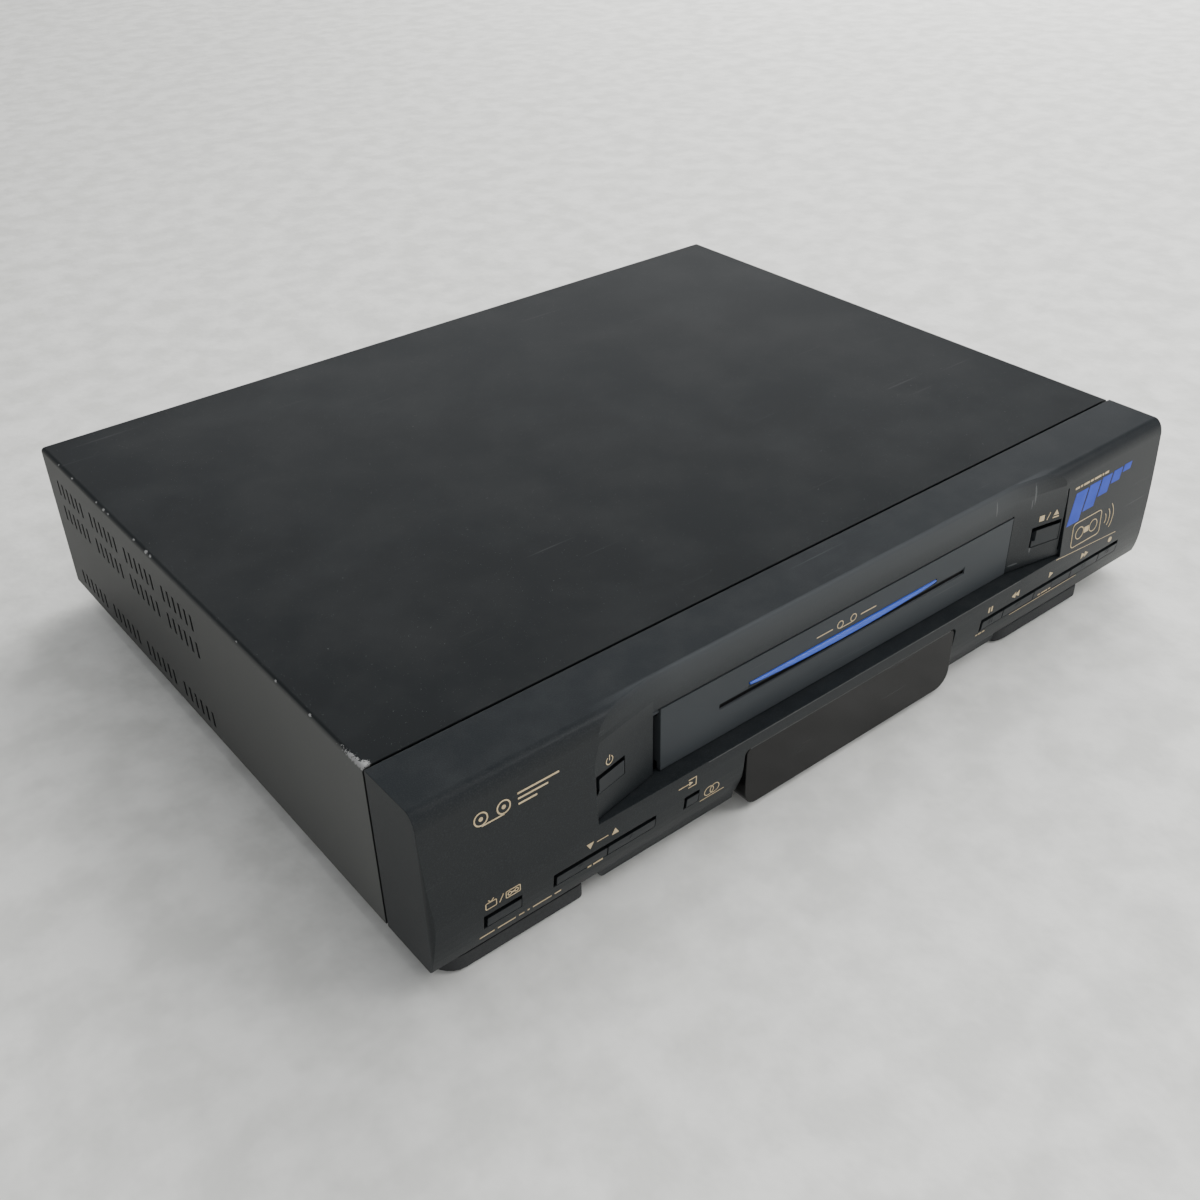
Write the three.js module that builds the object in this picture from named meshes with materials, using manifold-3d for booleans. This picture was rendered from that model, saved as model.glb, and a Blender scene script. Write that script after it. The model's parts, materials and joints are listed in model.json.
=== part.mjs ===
// A full-size video cassette recorder with its cover, front, keys, cassette door and tape mechanism.
// Millimetres, +Z up, the front faces -Y. Inside this file y is zero at the seam between the front
// and the cover, and z is zero at the case's lower edge. The last lines move the whole recorder so that
// its origin is at the middle of its footprint, on the surface that it stands on.
import * as THREE from "three";
import { mergeVertices } from "three/addons/utils/BufferGeometryUtils.js";
import Module from "manifold-3d";

// Case
const caseWidth = 430;
const caseHeight = 76.1;
const coverDepth = 304;
const footHeight = 12;
const restGap = 0.3;
const overrun = 6;

// Cover, a folded sheet
const coverWall = 0.9;
const coverBendRadius = 2;
const seamGap = 0.9;
const coverLipHeight = 9;
const ventWidth = 1.8;
const ventHeight = 8.1;
const ventPitch = 5.7;
const ventGroupPitch = 40;
const ventRearInset = 14.1;
const ventLowRow = 4.8;
const ventMidDrop = 34;
const ventTopDrop = 20;
const ventCount = 6;
const ventGroups = 4;

// Front moulding
const beltDepth = 33.4;
const beltHeight = 28;
const faceTopDepth = 31.2;
const topEdgeDepth = 26;
const topEdgeDrop = 8.1;
const toeDepth = 30.3;
const toeHeight = 1.4;
const toeCurveHeight = 11;
const frontWall = 2.6;
const frontCornerRadius = 2.5;
const frontCavityDepth = 28.4;
const tongueLength = 6;
const tongueWall = 1.8;
const tongueGap = 0.4;
const tongueOverlap = 1;
const lipFootGap = 5;
const lipDrop = 2.7;
const lipDepth = 31;
const lipBack = 4;
const boardPostRadius = 2.2;
const boardPostHeight = 5;
const boardPostInset = 10;
const boardPostInner = 76;

// Recess round the cassette door
const recessPanelWidth = 32.7;
const doorwayHalf = 108.3;
const doorPlaneDepth = 25.8;
const recessEdgeDepth = 31.8;
const recessTopDepth = 23.2;
const recessArcHeight = 10.1;
const ledgeFrontHeight = 28.9;
const ledgeBackHeight = 29.5;
const doorwayDrop = 15.1;
const shadowGapHeight = 0.7;
const shadowGapDepth = 1.2;
const recessSlotWidth = 1;
const recessSlotDepth = 1.7;
const recessSlotLow = 33;
const recessSlotRise = 5;

// Cassette door
const doorLeftGap = 3.8;
const doorRightGap = 0.7;
const doorBottomGap = 0.4;
const doorTopGap = 1;
const doorThickness = 2.2;
const hingeDrop = 1.4;
const hingeInset = 0.3;
const hingePinRadius = 1.1;
const doorReturnDepth = 4.6;
const doorReturnInset = 3;
const doorReturnWall = 1.5;
const grooveLeft = 74;
const grooveRight = 76;
const grooveDrop = 17.2;
const grooveHeight = 4;
const grooveDepth = 1.5;
const grooveRibHeight = 10;
const grooveRibDepth = 1.4;
const stripLeft = 58;
const stripRight = 56;
const stripDrop = 14.1;
const stripHeight = 2.4;
const stripProud = 0.9;
const stripPocketDepth = 0.9;

// Smoked display window
const windowHalf = 65.2;
const windowLow = -8.8;
const windowHigh = 22.4;
const windowFront = 32.9;
const windowDepth = 11;
const windowWall = 2;
const windowTopRadius = 3;
const windowLowRadius = 8;
const windowGap = 0.6;
const windowFlare = 3.6;
const windowFlareHeight = 9;

// Keys
const keyTravel = 1;
const keyTopSlot = 1.3;
const keySideSlot = 0.9;
const keyGap = 0.35;
const keySplit = 0.6;
const keyBackDepth = 22;
const flangeThickness = 1;
const flangeLip = 1.1;
const lowKeyBottom = 10;
const lowKeyTop = 16.8;
const transportBottom = 10.9;
const transportTop = 18;
const tvVcrLeftShare = -0.8991;
const tvVcrRightShare = -0.8209;
const channelLeftShare = -0.7544;
const channelSplitShare = -0.6349;
const channelRightShare = -0.5237;
const inputLeftShare = -0.4558;
const inputRightShare = -0.4186;
const transportLeftShare = 0.3944;
const pauseRightShare = 0.474;
const rewindRightShare = 0.5837;
const playRightShare = 0.7195;
const forwardRightShare = 0.826;
const transportRightShare = 0.8986;
const panelKeyBackDepth = 18;
const panelNotchHeight = 6;
const powerDoorwayGap = 16.2;
const powerWidth = 15.9;
const powerDrop = 10;
const powerHeight = 9;
const ejectDoorwayGap = 12.7;
const ejectWidth = 18;
const ejectDrop = 10.4;
const ejectHeight = 11;
const ejectNotchWidth = 2.6;

// Feet
const footNeck = 1.5;
const footSole = 1.5;
const footSoleInset = 1.3;
const footNeckInset = 6;
const footFront = 27;
const frontFootBack = 9;
const footLeftInset = 6.3;
const footLeftWidth = 64.9;
const footRightInset = 40;
const footRightWidth = 68;
const footCornerRadius = 10;
const footSmallRadius = 3;
const rearFootSideInset = 13;
const rearFootWidth = 52;
const rearFootInset = 24;
const rearFootDepth = 24;

// Chassis, bottom and rear
const plateThickness = 1;
const chassisWall = 2.4;
const chassisHeight = 10.6;
const chassisFront = 8;
const rearInset = 1.4;
const rearThickness = 1.2;
const ribHeight = 5;
const ribFrontPlace = 34;
const ribMidPlace = 236;
const ribRearInset = 20;
const beamPlace = 106;
const beamHeight = 9.7;
const deckBossRadius = 4;
const deckBossPlace = 95;
const boardBossRadius = 3;
const bottomSlotWidth = 4;
const bottomSlotLength = 60;
const bottomSlotCount = 5;
const bottomSlotInner = 128;
const bottomSlotInset = 31;
const bottomSlotStart = 90;
const screwPlace = 120;
const screwHeadRadius = 3.6;
const screwHeadHeight = 1.8;
const screwShankRadius = 1.4;
const screwShankLength = 6;
const screwHoleRadius = 1.9;
const screwSlotWidth = 0.9;
const screwSlotDepth = 1;

// Boards and what stands on them
const boardThickness = 1.6;
const boardInner = 110;
const boardOuterInset = 6;
const mainBoardFront = 14;
const powerBoardFront = 60;
const boardBackInset = 4;
const frontBoardDepth = 13;
const frontBoardLow = 3;
const frontBoardHigh = 27.5;
const frontBoardInset = 7;
const earDoorwayGap = 3.7;
const earWidth = 40;
const earRise = 3;
const switchHalf = 3;
const tubeHalf = 52;
const tubeLow = 6;
const tubeHigh = 20;
const tubeThickness = 6;
const tubeEndRadius = 2.5;
const transformerInset = 50;
const transformerY = 110;
const transformerLength = 46;
const transformerWidth = 30;
const transformerHeight = 38;
const windingWidth = 42;
const windingLength = 28;
const windingInset = 6;
const capacitorInset = 20;
const capacitorY = 185;
const capacitorRadius = 11;
const capacitorHeight = 36;
const capacitorRimRadius = 9.5;
const capacitorDimple = 1;

// Rear connectors
const tunerInset = 7;
const tunerWidth = 27;
const tunerLength = 64;
const tunerHeadroom = 7.2;
const aerialInset = 20;
const aerialPitch = 19;
const aerialRadius = 4.8;
const aerialHexRadius = 7.4;
const aerialHexLength = 2;
const aerialLength = 10;
const aerialBore = 1;
const aerialBoreDepth = 6;
const jackBlockInset = 43;
const jackBlockWidth = 57;
const jackBlockDepth = 14;
const jackBlockHeight = 38;
const jackFirstInset = 10;
const jackPitch = 18.5;
const jackLowHeight = 23;
const jackHighHeight = 40;
const jackRadius = 4.2;
const jackLength = 8;
const jackBore = 1.7;
const jackHoleGap = 0.8;
const knobDrop = 16.1;
const knobRise = 15;
const knobWidth = 4;
const knobTall = 5;
const knobTravel = 3;
const knobLength = 4.5;
const inletInset = 40;
const inletZ = 32;
const inletWidth = 24;
const inletTall = 17;
const inletFlange = 3;
const inletFlangeThickness = 2;
const inletBodyDepth = 18;
const inletRecessWidth = 16;
const inletRecessTall = 9.4;
const inletRecessDepth = 12;
const inletPinPlace = 4;
const inletPinRadius = 1.15;
const inletPinLength = 9;

// Tape deck
const deckHeight = 14;
const deckThickness = 2;
const deckHalf = 104;
const deckFront = 18;
const deckBack = 246;
const postHoleGap = 0.6;
const frameInner = 99.5;
const frameWall = 1.5;
const frameFront = 15;
const frameBack = 150;
const frameHeadroom = 3.2;
const frameBarFront = 112;
const frameBarBack = 132;
const frameFootHeight = 4;
const sliderInner = 97.3;
const sliderWall = 1.2;
const sliderFront = 24;
const sliderBack = 100;
const sliderBelowSlot = 6;
const sliderHeadroom = 6;
const sliderBarFront = 40;
const sliderBarBack = 60;
const sliderTravel = 40;
const sliderPinRadius = 1.6;
const sliderPinDrop = 6;
const sliderPinFront = 29.5;
const sliderPinBack = 83.5;
const holderHalf = 96.2;
const holderWall = 1.2;
const holderFront = 10;
const holderBack = 114;
const holderLow = 31;
const holderHeadroom = 5.6;
const holderLedge = 13;
const holderDrop = 12;
const holderPinRadius = 1.5;
const holderPinDrop = 8.4;
const holderPinFront = 42;
const holderPinBack = 72;
const holderWindowHalf = 78;
const holderWindowInset = 16;
const slotClear = 0.3;

const drumY = 205;
const drumRadius = 31;
const drumTilt = THREE.MathUtils.degToRad(5.96);
const drumBase = 4;
const lowerDrumHeight = 17;
const upperDrumHeight = 17;
const drumBaseRadius = 24;
const drumChamfer = 2;
const drumHubRadius = 11;
const drumHubDip = 4;
const capstanX = 64;
const capstanY = 182;
const capstanRadius = 1.5;
const capstanTop = 48;
const capstanHousingRadius = 7;
const capstanHousingHeight = 7;
const capstanBoreGap = 0.4;
const flywheelRadius = 25;
const flywheelLow = 3.3;
const flywheelHeight = 5.4;
const capstanPulleyRadius = 8;
const pulleyTop = 13;
const centreY = 120;
const centrePulleyRadius = 14;
const centreShaftRadius = 2;
const centreGearRadius = 14.2;
const idlerGearRadius = 7.5;
const idlerReach = 22;
const idlerWheelLow = 18.3;
const idlerWheelHeight = 3.5;
const idlerArmLow = 16.4;
const idlerArmThickness = 1.4;
const idlerHubRadius = 4.6;
const idlerPinRadius = 1.5;
const beltHeightLow = 10.2;
const beltWidth = 2;
const beltThickness = 1;
const reelX = 46;
const reelY = 95;
const reelRadius = 23.6;
const reelTableHeight = 5;
const spindleRadius = 5.4;
const spindleTop = 31;
const splineReach = 8;
const splineWidth = 2.4;
const pinchX = 88;
const pinchY = 170;
const pinchArmLength = 21.3;
const pinchRestAngle = THREE.MathUtils.degToRad(207.7);
const pinchHubRadius = 4.6;
const pinchRollerRadius = 8;
const pinchRollerLow = 26;
const pinchRollerHeight = 13;
const pinchArmThickness = 2;
const pinchArmWidth = 6.8;
const pinchPinRadius = 1.3;
const pinchPinTip = 1;
const guideRestX = 36;
const guideRestY = 146;
const guideBaseLength = 10;
const guideBaseWidth = 8;
const guideBaseHeight = 3.4;
const guideRollerRadius = 2.6;
const guideFlangeRadius = 3.6;
const guideFlangeHeight = 1.4;
const guideTop = 38;
const guideLoadedX = 44;
const guideLoadedY = 196;
const guideSlotWidth = 4;
const tensionX = -72;
const tensionY = 150;
const tensionHubRadius = 4;
const tensionReach = 22;
const tensionArmWidth = 3.2;
const tensionHubRise = 1;
const tensionPostRadius = 2;
const tensionAngle = THREE.MathUtils.degToRad(-52);
const tensionArmLow = 19.5;
const camX = -72;
const camY = 209;
const camRadius = 17;
const camToothHeight = 1.6;
const camTeeth = 32;
const camLow = 21;
const camHeight = 6;
const camHubRadius = 6;
const motorLeft = -58;
const motorLength = 30;
const motorRadius = 7.5;
const wormRadius = 3;
const wormLength = 28;
const wormGap = 0.5;
const audioHeadX = 57;
const audioHeadY = 199;
const eraseHeadX = -56;
const eraseHeadY = 176;
const headWidth = 9;
const headDepth = 6;
const headTop = 38;
const headPostRadius = 2.4;
const headFaceLow = 24;

// How finely round shapes are drawn
const fineSides = 32;
const plainSides = 20;
const coarseSides = 12;

// Places worked out from the sizes above
const half = caseWidth / 2;
const coverInner = half - coverWall;
const coverCeiling = caseHeight - coverWall;
const doorwayTop = caseHeight - doorwayDrop;
const grooveLow = doorwayTop - grooveDrop;
const stripLow = doorwayTop - stripDrop;
const recessHalf = doorwayHalf + recessPanelWidth;
const powerRight = -doorwayHalf - powerDoorwayGap;
const powerLeft = powerRight - powerWidth;
const ejectLeft = doorwayHalf + ejectDoorwayGap;
const ejectRight = ejectLeft + ejectWidth;
const powerTop = doorwayTop - powerDrop;
const powerBottom = powerTop - powerHeight;
const ejectTop = doorwayTop - ejectDrop;
const ejectBottom = ejectTop - ejectHeight;
const frameTop = coverCeiling - frameHeadroom;
const sliderTop = frameTop - sliderHeadroom;
const sliderPinHeight = sliderTop - sliderPinDrop;
const holderHigh = sliderTop - holderHeadroom;
const holderPinHeight = holderHigh - holderPinDrop;
const sliderLow = holderPinHeight - holderDrop - sliderBelowSlot;
const earInner = doorwayHalf + earDoorwayGap;
const earOuter = earInner + earWidth;
const earTop = powerTop + earRise;
const footLeftOuter = footLeftInset - half;
const footLeftInner = footLeftOuter + footLeftWidth;
const footRightOuter = half - footRightInset;
const footRightInner = footRightOuter - footRightWidth;
const boardOuter = half - boardOuterInset;
const frontBoardHalf = half - frontBoardInset;
const ribRearPlace = coverDepth - ribRearInset;
const aerialX = half - aerialInset;
const knobHeight = caseHeight - knobDrop;
const aerialOutHeight = knobHeight - knobRise;
const aerialInHeight = aerialOutHeight - aerialPitch;
const tunerOuter = half - tunerInset;
const jackBlockRight = half - jackBlockInset;
const jackBlockLeft = jackBlockRight - jackBlockWidth;
const inletX = inletInset - half;
const transformerX = transformerInset - half;
const capacitorX = -boardInner - capacitorInset;
const innerHalf = coverInner - tongueGap;
const rearFace = coverDepth - coverWall - restGap;
const rearFront = rearFace - rearThickness;
const chassisBack = rearFront - restGap;
const chassisLow = plateThickness + restGap;
const deckTop = deckHeight + deckThickness;
const onDeck = deckTop + restGap;
const boardLow = beamHeight + restGap;
const boardTop = boardLow + boardThickness;
const onBoard = boardTop + restGap;
const flangeFront = -frontCavityDepth + restGap;
const keyBack = -keyBackDepth;
const doorFront = -doorPlaneDepth;
const doorBack = doorFront + doorThickness;
const doorTop = doorwayTop - doorTopGap;
const doorLow = ledgeBackHeight + doorBottomGap;
const doorLeft = doorLeftGap - doorwayHalf;
const doorRight = doorwayHalf - doorRightGap;
const hingeHeight = doorTop - hingeDrop;
const hingeY = doorBack - hingeInset;
const holderSlide = holderBack - holderFront;

const wasm = await Module();
wasm.setup();

// Solids: closed three.js geometry made into something that can be joined and cut

function solidOf(geometry) {
  const bare = geometry.index ? geometry.toNonIndexed() : geometry.clone();
  bare.deleteAttribute("normal");
  bare.deleteAttribute("uv");
  const merged = mergeVertices(bare, 1e-4);
  const mesh = new wasm.Mesh({
    numProp: 3,
    vertProperties: merged.attributes.position.array,
    triVerts: new Uint32Array(merged.index.array),
  });
  return new wasm.Manifold(mesh);
}

function meshOf(name, solid, material) {
  const made = solid.getMesh();
  const geometry = new THREE.BufferGeometry();
  geometry.setAttribute("position", new THREE.BufferAttribute(made.vertProperties, 3));
  geometry.setIndex(new THREE.BufferAttribute(made.triVerts, 1));
  geometry.computeVertexNormals();
  const mesh = new THREE.Mesh(geometry, material);
  mesh.name = name;
  return mesh;
}

function join(first, ...others) {
  return others.reduce((whole, next) => whole.add(next), first);
}

function cut(first, ...others) {
  return others.reduce((whole, next) => whole.subtract(next), first);
}

function block(x0, x1, y0, y1, z0, z1) {
  const geometry = new THREE.BoxGeometry(x1 - x0, y1 - y0, z1 - z0);
  geometry.translate((x0 + x1) / 2, (y0 + y1) / 2, (z0 + z1) / 2);
  return solidOf(geometry);
}

// An outline carried along an axis: (y, z) outlines along x, (x, z) along y and (x, y) along z.
function prismGeometry(outline, axis, from, to, curveSegments = 3) {
  const shape = Array.isArray(outline) ? new THREE.Shape(outline) : outline;
  const options = { depth: to - from, bevelEnabled: false, steps: 1, curveSegments };
  const geometry = new THREE.ExtrudeGeometry(shape, options);
  const ex = new THREE.Vector3(1, 0, 0);
  const ey = new THREE.Vector3(0, 1, 0);
  const ez = new THREE.Vector3(0, 0, 1);
  const turn = new THREE.Matrix4();
  if (axis === "x") turn.makeBasis(ey, ez, ex).setPosition(from, 0, 0);
  if (axis === "y") turn.makeBasis(ex, ez, ey.clone().negate()).setPosition(0, to, 0);
  if (axis === "z") turn.makeBasis(ex, ey, ez).setPosition(0, 0, from);
  return geometry.applyMatrix4(turn);
}

function prism(outline, axis, from, to, curveSegments) {
  return solidOf(prismGeometry(outline, axis, from, to, curveSegments));
}

// A round bar from one place along an axis to another; u and v are its other two coordinates in order.
function barGeometry(axis, radius, from, to, u, v, sides = plainSides) {
  const geometry = new THREE.CylinderGeometry(radius, radius, to - from, sides);
  const middle = (from + to) / 2;
  if (axis === "x") geometry.rotateZ(-Math.PI / 2).translate(middle, u, v);
  if (axis === "y") geometry.translate(u, middle, v);
  if (axis === "z") geometry.rotateX(Math.PI / 2).translate(u, v, middle);
  return geometry;
}

function bar(axis, radius, from, to, u, v, sides) {
  return solidOf(barGeometry(axis, radius, from, to, u, v, sides));
}

// A rectangle with its own radius at each corner, in the order low-left, low-right, high-right, high-left.
function roundedRectangle(a0, a1, b0, b1, radii) {
  const [lowLeft, lowRight, highRight, highLeft] = radii;
  const shape = new THREE.Shape();
  shape.moveTo(a0 + lowLeft, b0);
  shape.lineTo(a1 - lowRight, b0);
  shape.absarc(a1 - lowRight, b0 + lowRight, lowRight, -Math.PI / 2, 0, false);
  shape.lineTo(a1, b1 - highRight);
  shape.absarc(a1 - highRight, b1 - highRight, highRight, 0, Math.PI / 2, false);
  shape.lineTo(a0 + highLeft, b1);
  shape.absarc(a0 + highLeft, b1 - highLeft, highLeft, Math.PI / 2, Math.PI, false);
  shape.lineTo(a0, b0 + lowLeft);
  shape.absarc(a0 + lowLeft, b0 + lowLeft, lowLeft, Math.PI, 1.5 * Math.PI, false);
  return shape;
}

function points(...pairs) {
  return pairs.map(([a, b]) => new THREE.Vector2(a, b));
}

// A flat bar with round ends between two places in x and y.
function link(x0, y0, x1, y1, width, z0, z1) {
  const length = Math.hypot(x1 - x0, y1 - y0);
  const radius = width / 2;
  const radii = [radius, radius, radius, radius];
  const outline = roundedRectangle(-radius, length + radius, -radius, radius, radii);
  const geometry = prismGeometry(outline, "z", z0, z1, 4);
  geometry.rotateZ(Math.atan2(y1 - y0, x1 - x0)).translate(x0, y0, 0);
  return solidOf(geometry);
}

function paint(color, roughness, metalness = 0) {
  return new THREE.MeshStandardMaterial({ color, roughness, metalness });
}

const finish = {
  cover: () => paint(0x2b2f31, 0.45),
  bezel: () => paint(0x222426, 0.6),
  door: () => paint(0x26292b, 0.4),
  key: () => paint(0x232527, 0.55),
  window: () => paint(0x151617, 0.2),
  strip: () => paint(0x3a56b8, 0.3),
  rubber: () => paint(0x17181a, 0.8),
  steel: () => paint(0xa9adb0, 0.35, 0.9),
  zinc: () => paint(0x8f9496, 0.45, 0.8),
  aluminium: () => paint(0xc6c9cc, 0.3, 0.95),
  plastic: () => paint(0x2d2f31, 0.6),
  board: () => paint(0x8a6a3a, 0.6),
  white: () => paint(0xd9d6cc, 0.5),
  copper: () => paint(0xa8662f, 0.4, 0.6),
  glass: () => paint(0x20302f, 0.1),
};

const recorder = new THREE.Group();

function add(name, solid, material, parent = recorder) {
  const mesh = meshOf(name, solid, finish[material]());
  parent.add(mesh);
  return mesh;
}

// Top cover: a sheet folded over the top and both sides, with a lip at the back

function coverOutline(halfWidth, high, radius, low) {
  return roundedRectangle(-halfWidth, halfWidth, low, high, [0, 0, radius, radius]);
}

function addCover() {
  const outer = prism(coverOutline(half, caseHeight, coverBendRadius, 0), "y", seamGap, coverDepth);
  const inner = prism(
    coverOutline(coverInner, coverCeiling, coverBendRadius - coverWall, -overrun),
    "y",
    seamGap - overrun,
    coverDepth - coverWall,
  );
  const rearOpening = block(
    -coverInner,
    coverInner,
    coverDepth - overrun,
    coverDepth + overrun,
    -overrun,
    caseHeight - coverLipHeight,
  );
  const slots = [];
  for (const low of [ventLowRow, caseHeight - ventMidDrop, caseHeight - ventTopDrop]) {
    for (let group = 0; group < ventGroups; group++) {
      for (let slot = 0; slot < ventCount; slot++) {
        const y = coverDepth - ventRearInset - group * ventGroupPitch - slot * ventPitch;
        const y0 = y - ventWidth / 2;
        const y1 = y0 + ventWidth;
        slots.push(block(-half - overrun, -coverInner + coverWall, y0, y1, low, low + ventHeight));
      }
    }
  }
  const lipHeight = caseHeight - coverLipHeight / 2;
  const holes = [-screwPlace, screwPlace].map((x) =>
    bar("y", screwHoleRadius, coverDepth - overrun, coverDepth + overrun, x, lipHeight, coarseSides),
  );
  add("top_cover", cut(outer, inner, rearOpening, ...slots, ...holes), "cover");
}

// Front moulding: its outer volume, then the cavity, the doorway and the openings for keys and window

function faceOutline() {
  const shape = new THREE.Shape();
  shape.moveTo(0, 0);
  shape.lineTo(0, caseHeight);
  shape.lineTo(-topEdgeDepth, caseHeight);
  const faceTop = caseHeight - topEdgeDrop;
  const edgeRun = faceTopDepth - topEdgeDepth;
  shape.absellipse(-topEdgeDepth, faceTop, edgeRun, topEdgeDrop, Math.PI / 2, Math.PI, false);
  shape.lineTo(-beltDepth, beltHeight);
  shape.quadraticCurveTo(-beltDepth, toeCurveHeight, -toeDepth, toeHeight);
  shape.lineTo(toeHeight - toeDepth, 0);
  return shape;
}

// The outline of what the recess takes away; back is how far behind its surface it reaches.
function recessOutline(back, below) {
  const surface = back - doorPlaneDepth;
  const arcRun = doorPlaneDepth - recessTopDepth;
  const arcFoot = caseHeight - recessArcHeight;
  const shape = new THREE.Shape();
  shape.moveTo(-beltDepth - overrun, ledgeFrontHeight - below);
  shape.lineTo(surface, ledgeBackHeight - below);
  shape.lineTo(surface, arcFoot);
  shape.absellipse(surface + arcRun, arcFoot, arcRun, recessArcHeight, Math.PI, Math.PI / 2, true);
  shape.lineTo(surface + arcRun, caseHeight + overrun);
  shape.lineTo(-beltDepth - overrun, caseHeight + overrun);
  return shape;
}

// The recess is deepest along the doorway and runs out towards its two ends.
const slope = (recessEdgeDepth - doorPlaneDepth) / (recessHalf - doorwayHalf);

function panelDepth(distance) {
  return doorPlaneDepth + slope * (distance - doorwayHalf);
}

function recessCutter(outline, reach) {
  const middle = prism(outline, "x", -doorwayHalf, doorwayHalf);
  const lean = new THREE.Matrix4();
  const right = prismGeometry(outline, "x", doorwayHalf, reach);
  lean.set(1, 0, 0, 0, -slope, 1, 0, slope * doorwayHalf, 0, 0, 1, 0, 0, 0, 0, 1);
  right.applyMatrix4(lean);
  const left = prismGeometry(outline, "x", -reach, -doorwayHalf);
  lean.set(1, 0, 0, 0, slope, 1, 0, slope * doorwayHalf, 0, 0, 1, 0, 0, 0, 0, 1);
  left.applyMatrix4(lean);
  return join(middle, solidOf(right), solidOf(left));
}

function frontVolume() {
  const along = prism(faceOutline(), "x", -half, half, 8);
  const radii = [frontCornerRadius, frontCornerRadius, 0, 0];
  const plan = roundedRectangle(-half, half, -beltDepth, 0, radii);
  const rounded = along.intersect(prism(plan, "z", -overrun, caseHeight + overrun, 4));
  const lipRadius = lipDrop;
  const lipLeft = footLeftInner + lipFootGap;
  const lipRight = footRightInner - lipFootGap;
  const lipOutline = roundedRectangle(lipLeft, lipRight, -lipDrop, lipDrop, [lipRadius, lipRadius, 0, 0]);
  const lip = prism(lipOutline, "y", -lipDepth + toeHeight, -lipBack, 4);
  return join(rounded, lip);
}

const lowerKeys = [
  { name: "tv_vcr_key", shares: [tvVcrLeftShare, tvVcrRightShare], first: true, last: true },
  { name: "channel_down_key", shares: [channelLeftShare, channelSplitShare], first: true, last: false },
  { name: "channel_up_key", shares: [channelSplitShare, channelRightShare], first: false, last: true },
  { name: "input_key", shares: [inputLeftShare, inputRightShare], first: true, last: true },
];

const transportKeys = [
  { name: "pause_key", shares: [transportLeftShare, pauseRightShare], first: true, last: false },
  { name: "rewind_key", shares: [pauseRightShare, rewindRightShare], first: false, last: false },
  { name: "play_key", shares: [rewindRightShare, playRightShare], first: false, last: false },
  { name: "fast_forward_key", shares: [playRightShare, forwardRightShare], first: false, last: false },
  { name: "record_key", shares: [forwardRightShare, transportRightShare], first: false, last: true },
];

// The left and right edges of a key's own part of its opening.
function keySpan(entry) {
  return entry.shares.map((share) => share * half);
}

function addFront() {
  const front = -beltDepth - overrun;
  const volume = frontVolume();
  const recess = recessCutter(recessOutline(0, 0), recessHalf);
  const shaped = volume.subtract(recess);
  const wallAcross = half - frontWall;
  const cavity = block(
    -wallAcross,
    wallAcross,
    -frontCavityDepth,
    overrun,
    frontWall,
    caseHeight - frontWall,
  ).subtract(recessCutter(recessOutline(frontWall, frontWall), recessHalf + frontWall));
  const ring = prism(
    coverOutline(innerHalf, coverCeiling - tongueGap, coverBendRadius, frontWall),
    "y",
    -tongueOverlap,
    tongueLength,
  ).subtract(
    prism(
      coverOutline(innerHalf - tongueWall, coverCeiling - tongueGap - tongueWall, coverBendRadius, -overrun),
      "y",
      -overrun,
      tongueLength + overrun,
    ),
  );
  const posts = [];
  const postOuter = half - boardPostInset;
  for (const x of [-postOuter, -boardPostInner, boardPostInner, postOuter]) {
    const postEnd = -frontBoardDepth - restGap;
    const postStart = -frontCavityDepth - frontWall / 2;
    posts.push(bar("y", boardPostRadius, postStart, postEnd, x, boardPostHeight, coarseSides));
  }
  const doorway = block(-doorwayHalf, doorwayHalf, front, 0, ledgeBackHeight, doorwayTop);
  const gap = windowGap;
  const windowHalfGap = windowHalf + gap;
  const windowTopGap = windowHigh + gap;
  const windowRadii = [0, 0, windowTopRadius, windowTopRadius];
  const windowHole = roundedRectangle(-windowHalfGap, windowHalfGap, -overrun, windowTopGap, windowRadii);
  const windowBack = -windowFront + windowDepth + gap;
  const windowCut = prism(windowHole, "y", front, windowBack, 4);
  const flareOut = windowHalfGap + windowFlare;
  const flare = points(
    [-windowHalf, windowFlareHeight],
    [-windowHalfGap, windowFlareHeight],
    [-flareOut, -overrun],
    [flareOut, -overrun],
    [windowHalfGap, windowFlareHeight],
    [windowHalf, windowFlareHeight],
  );
  const flareCut = prism(flare, "y", front, windowBack);
  const keyHoles = [];
  const addHole = (left, right, low, high) => {
    keyHoles.push(block(left, right, front, keyBack, low, high));
  };
  addHole(tvVcrLeftShare * half, tvVcrRightShare * half, lowKeyBottom, lowKeyTop);
  addHole(channelLeftShare * half, channelRightShare * half, lowKeyBottom, lowKeyTop);
  addHole(inputLeftShare * half, inputRightShare * half, lowKeyBottom, lowKeyTop);
  addHole(transportLeftShare * half, transportRightShare * half, transportBottom, transportTop);
  addHole(powerLeft, powerRight, powerBottom, powerTop);
  addHole(ejectLeft, ejectRight, ejectBottom, ejectTop);
  const slotLeft = recessHalf - recessSlotWidth;
  const slotBack = recessSlotDepth - recessEdgeDepth;
  const slotTop = doorwayTop + recessSlotRise;
  const recessSlot = block(slotLeft, recessHalf, front, slotBack, recessSlotLow, slotTop);
  const gapBack = shadowGapDepth - doorPlaneDepth;
  const shadow = points(
    [front, ledgeFrontHeight],
    [gapBack, ledgeBackHeight],
    [gapBack, ledgeBackHeight + shadowGapHeight],
    [front, ledgeBackHeight + shadowGapHeight],
  );
  const shadowCut = recessCutter(new THREE.Shape(shadow), recessHalf);
  const hollow = cut(shaped, cavity, shadowCut, recessSlot, doorway, windowCut, flareCut, ...keyHoles);
  const bezel = join(hollow, ring, ...posts);
  add("front_bezel", bezel, "bezel");
  return shaped;
}

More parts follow.
